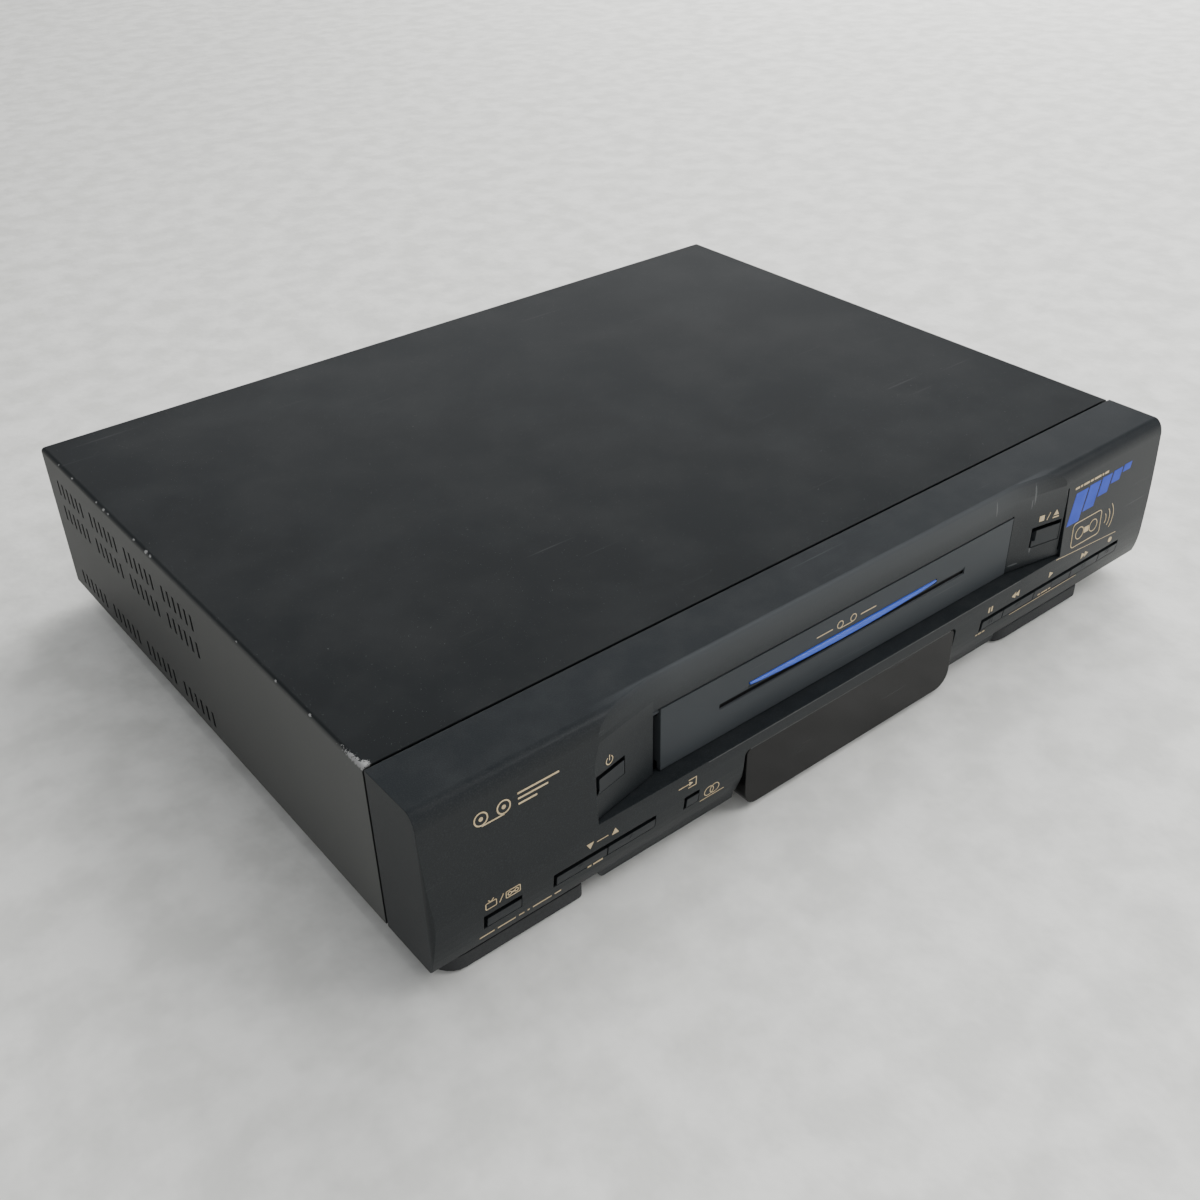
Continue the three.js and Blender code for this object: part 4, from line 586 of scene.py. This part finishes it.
seamShape = {"near": 0.05, "widen": 0.5}  # mm: the front's back rim moves forward, so that the seam shows
rimMesh = smoothCopy("front_bezel", 12.0).data
rimPoints = readPoints(rimMesh)
rimPoints[np.abs(rimPoints[:, 1] - seamY) < seamShape["near"] * mm, 1] -= seamShape["widen"] * mm
writePoints(rimMesh, rimPoints)
smoothNodes = (
    "top_cover", "cassette_door", "display_window", "foot_front_left", "foot_front_right",
    "foot_rear_left", "foot_rear_right", "upper_drum", "lower_drum", "capstan_shaft",
    "supply_reel", "takeup_reel", "pinch_roller", "smoothing_capacitor", "loading_motor", "mains_inlet",
)
shells = {node: smoothCopy(node) for node in smoothNodes}
print("smooth copies made,", len(smoothNodes))

# The door's right edge fits more closely than its left one, and the window's rim is rounded

doorEdge = {"from": 107.4, "to": 108.0, "shift": 0.5}
doorMesh = shells["cassette_door"].data
doorPoints = readPoints(doorMesh)
atEdge = (doorPoints[:, 0] > doorEdge["from"] * mm) & (doorPoints[:, 0] < doorEdge["to"] * mm)
doorPoints[atEdge, 0] += doorEdge["shift"] * mm
writePoints(doorMesh, doorPoints)


def roundRim(node, width):
    rim = shells[node].modifiers.new("rim", "BEVEL")
    rim.width = width * mm
    rim.segments = 3
    rim.limit_method = "ANGLE"
    rim.angle_limit = math.radians(60)
    shells[node].modifiers.move(1, 0)


windowLeft = {"from": -60.0, "to": -65.2, "shift": 0.9}
windowMesh = shells["display_window"].data
windowPoints = readPoints(windowMesh)
leftward = (windowPoints[:, 0] / mm - windowLeft["from"]) / (windowLeft["to"] - windowLeft["from"])
windowPoints[:, 0] += np.clip(leftward, 0, 1) * windowLeft["shift"] * mm
writePoints(windowMesh, windowPoints)
roundRim("display_window", 0.4)

footTop = {"below": 1.8, "near": 0.1, "drop": 1.9}  # mm: the top stands below the case and sinks further
for node in ("foot_front_left", "foot_front_right"):
    footMesh = shells[node].data
    footPoints = readPoints(footMesh)
    isTop = np.abs(footPoints[:, 2] - (caseZ - footTop["below"] * mm)) < footTop["near"] * mm
    footPoints[isTop, 2] -= footTop["drop"] * mm
    writePoints(footMesh, footPoints)
    roundRim(node, 0.8)
print("door edge, window rim and feet finished")

# Keys: the gap above each one, and beside the first of a row, is wider than the gaps between them

keyGaps = {
    "tv_vcr_key": (0.75, 0.7), "channel_down_key": (0.75, 0.7), "channel_up_key": (0.75, 0.0),
    "input_key": (0.6, 0.6), "pause_key": (0.8, 0.9), "rewind_key": (0.8, 0.0), "play_key": (0.8, 0.0),
    "fast_forward_key": (0.8, 0.0), "record_key": (0.8, 0.0), "power_key": (0.7, 0.7),
    "stop_eject_key": (0.9, 0.9),
}
keyCap = {
    "shoulder": -28.8, "shoulders": {"power_key": -25.8, "stop_eject_key": -25.2}, "fall": 3.5, "lean": 1.6,
    "near": 0.15,
}
for key, (above, beside) in keyGaps.items():
    keyMesh = smoothCopy(key, 1.0).data
    points = readPoints(keyMesh)
    front = points[:, 1] < seamY + keyCap["shoulders"].get(key, keyCap["shoulder"]) * mm
    low, high = points[front].min(axis=0), points[front].max(axis=0)
    backTop = ~front & (np.abs(points[:, 2] - high[2]) < keyCap["near"] * mm)
    backLeft = ~front & (np.abs(points[:, 0] - low[0]) < keyCap["near"] * mm)
    risen = np.clip((points[front, 2] - low[2]) / (high[2] - low[2]), 0, 1)
    leftward = np.clip((high[0] - points[front, 0]) / (high[0] - low[0]), 0, 1)
    points[front, 2] -= risen * above * mm
    points[front, 0] += leftward * beside * mm
    points[backTop, 2] -= keyCap["fall"] * mm
    if beside:
        points[backLeft, 0] += keyCap["lean"] * mm
    writePoints(keyMesh, points)
print("keys shaped,", len(keyGaps))

# New pieces are rows of points that close on themselves: place j of row i is point i * count + j


def rowFaces(rows, count):
    i, j = np.meshgrid(np.arange(rows - 1), np.arange(count), indexing="ij")
    k = (j + 1) % count
    corners = (i * count + j, i * count + k, (i + 1) * count + k, (i + 1) * count + j)
    return np.stack(corners, axis=-1).reshape(-1, 4).tolist()


# A piece with its faces turned outward; merge joins points that meet, clean clears faces that this closes
def closedPiece(name, points, faces, angle, merge=False, clean=False):
    mesh = bpy.data.meshes.new(name)
    mesh.from_pydata(points.tolist(), [], faces)
    work = bmesh.new()
    work.from_mesh(mesh)
    if merge:
        bmesh.ops.remove_doubles(work, verts=work.verts, dist=1e-7)
    if clean:
        bmesh.ops.dissolve_degenerate(work, dist=1e-8, edges=work.edges)
    bmesh.ops.recalc_face_normals(work, faces=work.faces)
    work.to_mesh(mesh)
    work.free()
    smoothTo(mesh, angle)
    return newObject(name, mesh)


# The blue strip: its top edge is straight and its lower edge bows, so that it tapers to both ends

strip = {
    "left": -57.6, "right": 55.6, "top": 49.35, "low": 1.1, "bow": 2.2, "back": -25.15, "face": -25.8,
    "proud": 1.3, "stations": 61, "around": 18,
}


# Height is low + bow sin(pi t)^0.7 along the strip; the front is a half ellipse as proud as it is high
def stripPiece():
    c = strip
    t = np.linspace(0.0, 1.0, c["stations"])
    x = c["left"] + (c["right"] - c["left"]) * t
    height = c["low"] + c["bow"] * np.sin(math.pi * t).clip(0, 1) ** 0.7
    a = np.linspace(math.pi / 2, -math.pi / 2, c["around"])
    across = np.concatenate([np.cos(a), [0.0, 0.0]])
    level = np.concatenate([0.5 + 0.5 * np.sin(a), [0.0, 1.0]])
    proud = c["proud"] * height / (c["low"] + c["bow"])
    y = np.where(np.arange(len(across)) < c["around"], c["face"] - proud[:, None] * across, c["back"])
    z = c["top"] - height[:, None] * (1.0 - level)
    rows, count = z.shape
    points = toFrame(np.repeat(x, count), y.ravel(), z.ravel())
    ends = [list(range(count)), [(rows - 1) * count + n for n in reversed(range(count))]]
    piece = closedPiece("doorStripLens", points, rowFaces(rows, count) + ends, 50)
    return finishPiece(piece, nodes["door_strip"]["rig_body"], "blue_plastic")


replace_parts(stripPiece(), "door_strip")

# The front's surface, as a depth for each height, for the prints that lie on it

frontFace = {
    "beltDepth": 33.4, "beltHeight": 28.0, "topDepth": 31.2, "topHeight": 68.0, "edgeDepth": 26.0,
    "edgeDrop": 8.1, "toeDepth": 30.3, "toeHeight": 1.4, "curveHeight": 11.0,
}
recess = {"half": 141.0, "doorway": 108.3, "depth": 25.8, "edgeDepth": 31.8}


# Heights and depths up the front: a quadratic curve at the foot, a straight face, then a quarter ellipse
def faceTable():
    f = frontFace
    t = np.linspace(0.0, 1.0, 9)
    footZ = f["beltHeight"] * (1 - t) ** 2 + 2 * f["curveHeight"] * t * (1 - t) + f["toeHeight"] * t**2
    footY = f["beltDepth"] * (1 - t) ** 2 + 2 * f["beltDepth"] * t * (1 - t) + f["toeDepth"] * t**2
    a = np.linspace(math.pi, math.pi / 2, 17)
    topZ = f["topHeight"] + f["edgeDrop"] * np.sin(a)
    topY = f["edgeDepth"] - (f["topDepth"] - f["edgeDepth"]) * np.cos(a)
    return np.concatenate([footZ[::-1], topZ]), np.concatenate([footY[::-1], topY])


faceHeights, faceDepths = faceTable()


def onFace(x, z):
    return -np.interp(z, faceHeights, faceDepths)


def onPanel(x, z):
    slope = (recess["edgeDepth"] - recess["depth"]) / (recess["half"] - recess["doorway"])
    return -(recess["depth"] + slope * np.maximum(np.abs(x) - recess["doorway"], 0.0))


# Flat print shapes in x and z, as (points, faces)


def unit(rows):
    return rows / np.linalg.norm(rows, axis=1, keepdims=True)


def turnLeft(rows):
    return np.stack([-rows[:, 1], rows[:, 0]], axis=1)


# A line of even width: each point moved to both sides along the mean normal of its two segments
def ribbon(points, width, closed=False):
    p = np.asarray(points, float)
    before = np.roll(p, 1, axis=0) if closed else np.vstack([2 * p[0] - p[1], p[:-1]])
    after = np.roll(p, -1, axis=0) if closed else np.vstack([p[1:], 2 * p[-1] - p[-2]])
    inward = unit(p - before)
    normal = turnLeft(unit(inward + unit(after - p)))
    slant = (normal * turnLeft(inward)).sum(axis=1, keepdims=True)
    aside = normal * (1.0 / np.maximum(slant, 0.35)) * width / 2  # held back at a sharp corner
    n = len(p)
    i = np.arange(n if closed else n - 1)
    j = (i + 1) % n
    return np.vstack([p + aside, p - aside]), np.stack([i + n, j + n, j, i], axis=1).tolist()


def solidShape(points):
    return np.asarray(points, float), [list(range(len(points)))]


def arcPoints(cx, cz, radius, fromDegrees, toDegrees, count=24):
    a = np.radians(np.linspace(fromDegrees, toDegrees, count))
    return np.stack([cx + radius * np.cos(a), cz + radius * np.sin(a)], axis=1)


def circleLine(cx, cz, radius, width, count=28):
    return ribbon(arcPoints(cx, cz, radius, 0, 360, count + 1)[:-1], width, closed=True)


def disc(cx, cz, radius, count=24):
    return solidShape(arcPoints(cx, cz, radius, 0, 360, count + 1)[:-1])


# Adds points along straight segments, so that a long line can follow a curved face
def along(points, step=1.2):
    p = np.asarray(points, float)
    rows = [p[:1]]
    for a, b in zip(p[:-1], p[1:]):
        count = max(1, int(math.ceil(np.linalg.norm(b - a) / step)))
        t = np.linspace(0, 1, count + 1)[1:, None]
        rows.append(a + (b - a) * t)
    return np.vstack(rows)


def triangle(cx, cz, size, degrees):
    return solidShape(arcPoints(cx, cz, size, degrees, degrees + 240, 3))


def rectangle(x0, x1, z0, z1):
    return solidShape([(x0, z0), (x1, z0), (x1, z1), (x0, z1)])


def roundedBox(cx, cz, width, height, radius, line):
    x, z = width / 2 - radius, height / 2 - radius
    centres = ((cx + x, cz - z), (cx + x, cz + z), (cx - x, cz + z), (cx - x, cz - z))
    corners = [arcPoints(*centre, radius, 90 * n - 90, 90 * n, 6) for n, centre in enumerate(centres)]
    return ribbon(np.vstack(corners), line, closed=True)


# Lays flat shapes on a surface, raised by lift, with a thin body of the given depth behind each
def layPrint(name, shapes, surfaceAt, material, slotName, body="root", lift=0.05, depth=0.11):
    points, faces, count = [], [], 0
    for p, shapeFaces in shapes:
        for face in shapeFaces:
            q = p[face]
            area = np.sum(q[:, 0] * np.roll(q[:, 1], -1) - np.roll(q[:, 0], -1) * q[:, 1])
            faces.append([count + k for k in (face if area > 0 else face[::-1])])
        points.append(p)
        count += len(p)
    x, z = np.vstack(points).T
    y = surfaceAt(x, z) - lift
    sides = np.vstack([toFrame(x, y, z), toFrame(x, y + depth, z)])
    edges = dict.fromkeys(pair for face in faces for pair in zip(face, face[1:] + face[:1]))
    walls = [[b, a, a + count, b + count] for a, b in edges if (b, a) not in edges]
    allFaces = faces + [[k + count for k in face[::-1]] for face in faces] + walls
    mesh = bpy.data.meshes.new(name)
    mesh.from_pydata(sides.tolist(), [], allFaces)
    mesh.validate()
    mesh.update()
    return finishPiece(newObject(name, mesh), body, slotName, material)


iconShape = {  # shares of an icon's width or height
    "step": 1.35, "corner": 0.16, "reel": 0.24, "apart": 0.24, "barWide": 0.08, "barHigh": 0.12,
    "screenCorner": 0.18, "aerialWide": 0.4, "aerialTop": 0.95,
}


def doubleTriangle(cx, cz, size, degrees):
    half = size * iconShape["step"] * (0.5 if degrees == 0 else -0.5)
    return [triangle(x, cz, size, degrees) for x in (cx - half, cx + half)]


# A cassette seen from above: a rounded outline with two reels and a bar between them
def tapeIcon(cx, cz, width, height, line):
    c = iconShape
    out = [roundedBox(cx, cz, width, height, height * c["corner"], line)]
    for side in (-1, 1):
        out.append(circleLine(cx + side * width * c["apart"], cz, height * c["reel"], line))
    x, z = width * c["barWide"], height * c["barHigh"]
    out.append(rectangle(cx - x, cx + x, cz - z, cz + z))
    return out


# A rounded screen with two aerials
def televisionIcon(cx, cz, width, height, line):
    c = iconShape
    out = [roundedBox(cx, cz, width, height, height * c["screenCorner"], line)]
    for side in (-1, 1):
        tip = (cx + side * height * c["aerialWide"], cz + height * c["aerialTop"])
        out.append(ribbon([(cx, cz + height / 2), tip], line))
    return out


def longLine(points, width):
    return ribbon(along(points), width)


# A row of plain bars of uneven length, as a line of small print looks from afar
def markRow(x, z, lengths, height, space):
    out = []
    for length in lengths:
        out.append(longLine([(x, z), (x + length, z)], height))
        x += length + space
    return out


drawing = {
    "line": ribbon, "longLine": longLine, "circle": circleLine, "disc": disc, "block": rectangle,
    "triangle": triangle, "double": doubleTriangle, "tape": tapeIcon, "television": televisionIcon,
    "row": markRow,
}


# Draws a table of marks: for each kind, the values that its function takes, in mm and degrees
def drawMarks(marks):
    shapes = []
    for kind, rows in marks.items():
        for values in rows:
            made = drawing[kind](*values)
            shapes += made if isinstance(made, list) else [made]
    return shapes


frontMarks = {
    "television": [(-190.0, 21.2, 4.6, 3.0, 0.42)],
    "tape": [(-180.4, 21.4, 6.2, 3.2, 0.42)],
    "line": [
        ([(-186.4, 19.8), (-184.6, 23.2)], 0.42), ([(-142.0, 21.4), (-136.6, 21.4)], 0.42),
        ([(-101.5, 23.2), (-95.6, 23.2)], 0.42), ([(-89.0, 9.0), (-76.0, 9.0)], 0.42),
        ([(-96.4, 25.2), (-92.4, 25.2), (-92.4, 21.2), (-96.4, 21.2)], 0.42),
    ],
    "longLine": [([(138.4, 28.6), (188.0, 24.8)], 0.32), ([(108.4, 10.0), (161.0, 10.0)], 0.32)],
    "circle": [(-84.6, 12.6, 2.4, 0.42), (-81.6, 12.6, 2.4, 0.42)],
    "triangle": [
        (-145.2, 21.6, 2.0, -90), (-133.2, 21.2, 2.0, 90), (-95.4, 23.2, 1.3, 0), (136.0, 21.6, 2.0, 0),
    ],
    "double": [(109.5, 21.6, 2.0, 180), (163.0, 21.6, 2.0, 0)],
    "block": [(89.0, 90.0, 20.1, 23.1), (91.0, 92.0, 20.1, 23.1)],
    "disc": [(184.5, 21.6, 1.5)],
    "row": [
        (-195.0, 5.4, (6.5, 8.0, 2.4, 0.9, 8.6, 3.0), 0.75, 1.5), (-146.0, 9.8, (1.8, 4.6), 0.85, 0.9),
        (83.6, 9.2, (1.2, 2.4, 1.6), 0.8, 0.7), (129.5, 12.0, (2.0, 4.8, 1.8), 0.8, 0.7),
    ],
}
emblemMarks = {  # two reels joined by a band, and three bars of falling length
    "circle": [(-190.0, 61.0, 2.7, 0.6), (-180.5, 61.0, 2.7, 0.6)],
    "disc": [(-190.0, 61.0, 0.9), (-180.5, 61.0, 0.9)],
    "line": [([(-190.0, 57.9), (-180.5, 57.9)], 0.6)],
    "longLine": [
        ([(-174.5, 63.4), (-156.5, 63.4)], 0.8), ([(-174.5, 61.1), (-161.5, 61.1)], 0.8),
        ([(-174.5, 58.8), (-166.5, 58.8)], 0.8),
    ],
}
artMarks = {  # a cassette outline with waves that leave it, under a row of small marks
    "tape": [(160.5, 37.0, 23.0, 13.0, 0.45)],
    "line": [(arcPoints(172.6, 37.0, radius, -40, 40, 18), 0.45) for radius in (4.0, 7.0, 10.0)],
    "row": [(146.0, 63.6, (3.2, 1.6, 4.4, 2.2, 5.4, 1.2, 3.0), 1.1, 0.9)],
}
panelMarks = {
    "line": [
        (arcPoints(-133.0, 54.4, 1.8, 120, 420, 22), 0.42), ([(-133.0, 54.3), (-133.0, 57.0)], 0.42),
        ([(129.4, 52.6), (131.0, 56.4)], 0.42),
    ],
    "block": [(124.6, 127.6, 53.0, 56.0), (132.9, 136.7, 52.5, 53.2)],
    "triangle": [(134.8, 54.9, 1.9, 90)],
}
doorMarks = {
    "circle": [(-6.0, 53.6, 1.7, 0.42), (2.0, 53.6, 1.7, 0.42)],
    "line": [
        ([(-6.0, 51.7), (2.0, 51.7)], 0.42), ([(-20.0, 53.2), (-10.5, 53.2)], 0.5),
        ([(6.5, 53.2), (16.0, 53.2)], 0.5),
    ],
}
barArt = {
    "bars": (  # left, width, height
        (147.6, 9.4, 16.0), (158.4, 8.6, 12.6), (168.4, 7.8, 9.2), (177.6, 7.0, 6.2), (186.0, 6.2, 3.6),
    ),
    "top": 60.4, "rise": 0.045, "start": 143.0, "slant": 0.30, "rows": 7,
}


# Slanted blue bars that get shorter to the right, below a slowly rising top
def blueBars():
    out = []
    count = barArt["rows"]
    t = np.linspace(0.0, 1.0, count)
    i = np.arange(count - 1)
    for left, width, height in barArt["bars"]:
        z = barArt["top"] + barArt["rise"] * (left - barArt["start"]) - height * (1.0 - t)
        lower = np.stack([left - barArt["slant"] * height * (1.0 - t), z], axis=1)
        faces = np.stack([i, i + count, i + count + 1, i + 1], axis=1).tolist()
        out.append((np.vstack([lower, lower + (width, 0.0)]), faces))
    return out


layPrint("frontPrint", drawMarks(frontMarks), onFace, creamPrint, "front_plastic")
layPrint("emblemPrint", drawMarks(emblemMarks), onFace, creamPrint, "front_plastic")
layPrint("artPrint", drawMarks(artMarks), onFace, creamPrint, "front_plastic", lift=0.09, depth=0.15)
layPrint("blueBarPrint", blueBars(), onFace, bluePrint, "blue_plastic")
layPrint("panelPrint", drawMarks(panelMarks), onPanel, creamPrint, "front_plastic")
layPrint("doorPrint", drawMarks(doorMarks), onPanel, creamPrint, "door_plastic", body="cassette_door")

# Painted highlights: light lines along the window's top edge and the ledge above the keys, where these
# edges catch the light

wornEdge = plainTone("wornEdge", {
    "dark": (0.050, 0.052, 0.052), "light": (0.085, 0.087, 0.085), "grain": 1500.0, "drift": 60.0,
    "roughness": (0.30, 0.40), "bump": 0.05,
})
highlightLines = {
    "window": ([(-62.4, 22.22), (62.4, 22.22)], 0.26), "windowFace": 32.9,
    "ledge": ([(-86.0, 28.72), (111.0, 28.72)], 0.22),
}


def onWindow(x, z):
    return np.full(len(x), -highlightLines["windowFace"])


# painted highlight lines on the window's top edge and the ledge
layPrint("windowEdge", [ribbon(*highlightLines["window"])], onWindow, wornEdge, "smoked_plastic")
layPrint("ledgeEdge", [longLine(*highlightLines["ledge"])], onFace, wornEdge, "front_plastic")
print("prints laid")

# Low raised marks on the keys

keyMarks = {
    "pause_key": [rectangle(92.0 + dx, 92.8 + dx, 12.6, 15.4) for dx in (0.0, 1.8)],
    "rewind_key": doubleTriangle(113.7, 14.0, 1.4, 180),
    "play_key": [triangle(140.0, 14.0, 1.5, 0)],
    "fast_forward_key": doubleTriangle(166.1, 14.0, 1.4, 0),
    "record_key": [circleLine(185.4, 14.0, 1.3, 0.5)],
    "channel_down_key": [triangle(-149.5, 13.2, 1.4, -90)],
    "channel_up_key": [triangle(-124.5, 12.8, 1.4, 90)],
}
plastic = materials["key_plastic"]
for key, shapes in keyMarks.items():
    layPrint(key + "Mark", shapes, onFace, plastic, "key_plastic", body=key, lift=0.16, depth=0.3)
print("key marks raised")

# Turned pieces: a profile of (radius, distance) spun about an axis that points to the back


def lathe(name, profile, centre, material=None, slotName="shaft_steel", sides=32):
    radius, distance = np.asarray(profile, float).T[:, :, None]
    a = np.linspace(0, 2 * math.pi, sides, endpoint=False)
    x, y, z = np.broadcast_arrays(radius * np.cos(a), distance, -radius * np.sin(a))
    points = toFrame(centre[0] + x.ravel(), centre[1] + y.ravel(), centre[2] + z.ravel())
    piece = closedPiece(name, points, rowFaces(len(profile), sides), 35, merge=True, clean=True)
    return finishPiece(piece, "root", slotName, material)


def ringProfile(inner, outer, low, high, round=0.15):
    return [
        (inner, low), (outer, low), (outer, high - round), (outer - round, high), (inner + round, high),
        (inner, high - round), (inner, low),
    ]


rear = {"face": 302.8, "jackTip": 310.8}
jacks = {  # a ring is its inner and outer radius, its start, and how far it passes the tip
    "columns": {"yellow": 125.0, "white": 143.5, "red": 162.0}, "rows": {"low": 23.0, "high": 40.0},
    "sleeve": (3.3, 4.3, 0.2, 0.35), "insulator": (1.7, 3.28, 0.3, 0.12),
}
rings = []
for inner, outer, low, past in (jacks["sleeve"], jacks["insulator"]):
    rings.append(ringProfile(inner, outer, low, rear["jackTip"] - rear["face"] + past))
for column, (colour, x) in enumerate(jacks["columns"].items(), 1):
    for row, z in jacks["rows"].items():
        centre = (x, rear["face"], z)
        lathe(f"jackSleeve{column}{row}", rings[0], centre)
        lathe(f"jackInsulator{column}{row}", rings[1], centre, ringFinish[colour], "socket_plastic")

thread = {
    "core": 4.82, "crest": 5.15, "wall": 0.5, "turns": 9, "low": 2.6, "high": 9.8, "rows": (26.0, 45.0),
    "x": 195.0, "sides": 36,
}


# A ridged sleeve: the outside swings between core and crest, one ridge for each turn
def threadProfile():
    t = np.linspace(0.0, 1.0, thread["turns"] * 4 + 1)
    wave = 0.5 - 0.5 * np.cos(2 * math.pi * thread["turns"] * t)
    radius = thread["core"] + (thread["crest"] - thread["core"]) * wave
    place = thread["low"] + (thread["high"] - thread["low"]) * t
    inner = thread["core"] - thread["wall"]
    return [(inner, place[0]), *zip(radius, place), (inner, place[-1]), (inner, place[0])]


for number, z in enumerate(thread["rows"], 1):
    lathe(f"aerialThread{number}", threadProfile(), (thread["x"], rear["face"], z), sides=thread["sides"])

pins = {
    "columns": (-179.0, -171.0), "floor": 293.1, "z": 32.0, "sides": 20,
    "profile": [(0.0, 0.02), (1.22, 0.02), (1.22, 8.55), (0.671, 9.15), (0.0, 9.15)],
}
for number, x in enumerate(pins["columns"], 1):
    lathe(f"inletPin{number}", pins["profile"], (x, pins["floor"], pins["z"]), sides=pins["sides"])

# Screws: a domed head whose cross recess is cut in its height

screwShape = {
    "rings": 12, "sides": 40, "dome": 0.92, "crossWidth": 0.13, "crossEnd": 0.62, "crossFade": 0.2,
    "steep": 1.6, "deep": 0.55, "foot": 0.25,
}


# Height over the head is a dome, less a cross-shaped hollow that is deepest at the middle
def screwHead(name, centre, axis, radius, height):
    c = screwShape
    axis = np.asarray(axis, float)
    rings, sides = c["rings"], c["sides"]
    turns = np.linspace(0, 2 * math.pi, sides, endpoint=False)
    r, a = np.meshgrid(np.linspace(0.0, 1.0, rings), turns, indexing="ij")
    dome = height * np.sqrt(np.clip(1 - (c["dome"] * r) ** 2, 0, 1))
    cross = np.minimum(np.abs(np.cos(a)), np.abs(np.sin(a))) * r
    hollow = np.clip(1.0 - cross / c["crossWidth"], 0, 1)
    hollow *= np.clip((c["crossEnd"] - r) / c["crossFade"], 0, 1)
    h = dome - c["deep"] * height * np.clip(hollow * c["steep"], 0, 1)
    first = np.cross(axis, (0.0, 0.0, 1.0) if abs(axis[2]) < 0.9 else (1.0, 0.0, 0.0))
    second = np.cross(axis, first)
    across = (np.cos(a)[..., None] * first + np.sin(a)[..., None] * second) * (r * radius)[..., None]
    top = (across + h[..., None] * axis).reshape(-1, 3)
    foot = across[-1] - c["foot"] * axis
    points = np.vstack([top, foot, [-c["foot"] * axis]]) + np.asarray(centre, float)
    last = rings * sides
    closing = [[last + s, last + (s + 1) % sides, last + sides] for s in range(sides)]
    faces = rowFaces(rings + 1, sides) + closing
    piece = closedPiece(name, toFrame(*points.T), faces, 40, merge=True)
    return finishPiece(piece, "root", "shaft_steel")


screws = {
    "rear": (
        (-205.0, 10.0), (-205.0, 62.0), (-150.0, 32.0), (20.0, 10.0), (20.0, 62.0), (106.0, 31.0),
        (176.5, 62.0),
    ),
    "under": (
        (-125.0, 40.0), (125.0, 40.0), (-125.0, 250.0), (125.0, 250.0), (-60.0, 20.0), (60.0, 20.0),
        (0.0, 290.0),
    ),
    "rearSize": (2.6, 1.2), "underSize": (3.0, 1.3),  # radius and height
}
for number, (x, z) in enumerate(screws["rear"], 1):
    screwHead(f"rearScrew{number}", (x, rear["face"], z), (0, 1, 0), *screws["rearSize"])
for number, (x, y) in enumerate(screws["under"], 1):
    screwHead(f"underScrew{number}", (x, y, 0.0), (0, 0, -1), *screws["underSize"])
print("rear and underside fittings made")

# Stage: a pale floor with painted shade towards the back left, soft light from above and the right

stageLook = {
    "floorSize": 9.0, "floorDark": (0.692, 0.690, 0.654), "floorLight": (0.820, 0.816, 0.778),
    "backDark": (0.575, 0.573, 0.543), "backLight": (0.680, 0.677, 0.645), "fade": (-0.9, 0.2),
    "roughness": 0.9, "gloss": 0.1, "grain": 95.0, "drift": 38.0, "patches": (0.38, 0.62),
    "bump": 0.25, "bumpDepth": 0.002, "world": (0.82, 0.85, 0.90), "worldStrength": 0.42,
}
floorMesh = bpy.data.meshes.new("floor")
s = stageLook["floorSize"] / 2
floorMesh.from_pydata([(-s, -s, 0), (s, -s, 0), (s, s, 0), (-s, s, 0)], [], [(0, 1, 2, 3)])
floor = newObject("floor", floorMesh)
sockets = {"Roughness": stageLook["roughness"], "Specular IOR Level": stageLook["gloss"]}
floorMaterial, tree, shader = newMaterial("floorPaper", sockets)
mottle = useGroup(tree, grainGroup, Scale=stageLook["grain"], Drift=stageLook["drift"])
patches = spread(tree, mottle["Tone"], 0.0, 1.0, *stageLook["patches"])
mottled = mixColour(tree, patches, stageLook["floorDark"], stageLook["floorLight"])
# painted shade for the back left of the floor
behind = mixColour(tree, patches, stageLook["backDark"], stageLook["backLight"])
place = splitParts(tree, objectPlace(tree))
across = combine(tree, "SUBTRACT", place["X"], place["Y"])  # painted shade: the floor's colour darkens towards the back left
fade = spread(tree, across, 0.0, 1.0, *stageLook["fade"])
tree.links.new(mixColour(tree, fade, behind, mottled), shader["Base Color"])
addBump(tree, shader, mottle["Height"], stageLook["bump"], stageLook["bumpDepth"])
floorMesh.materials.append(floorMaterial)

world = bpy.data.worlds.new("studioWorld")
bpy.context.scene.world = world
world.use_nodes = True
background = world.node_tree.nodes["Background"]
background.inputs["Color"].default_value = (*stageLook["world"], 1.0)
background.inputs["Strength"].default_value = stageLook["worldStrength"]

lamps = {  # place, aim, width, height, watts, and whether it shows in reflections
    "overhead": ((0.8, -0.1, 2.7), (0.2, -0.1, 0.0), 2.6, 2.6, 47.0, False),
    "front": ((1.2, -1.3, 1.9), (0.1, -0.5, 0.0), 1.5, 1.5, 8.0, False),
    "wall": ((2.4, 1.3, 1.7), (1.1, 0.2, 0.0), 2.2, 2.2, 125.0, False),
    "left": ((-1.1, -1.7, 1.3), (-0.2, -0.3, 0.0), 1.5, 1.5, 9.0, False),
    "back": ((1.7, 2.1, 0.5), (0.1, 0.15, 0.3), 3.0, 1.0, 17.0, True),
    "rightFront": ((1.25, -2.05, 0.42), (0.0, -0.1, 0.08), 1.8, 0.75, 6.0, True),
    "spark": ((0.95, -1.05, 1.2), (0.0, -0.1, 0.05), 0.6, 0.6, 9.0, True),
}
for name, (place, aim, wide, high, power, seen) in lamps.items():
    data = bpy.data.lights.new(name, "AREA")
    data.shape = "RECTANGLE"
    data.size = wide
    data.size_y = high
    data.energy = power
    lamp = newObject(name, data)
    lamp.location = place
    lamp.visible_glossy = seen
    lamp.rotation_euler = (Vector(aim) - Vector(place)).to_track_quat("-Z", "Y").to_euler()
print("stage lit")
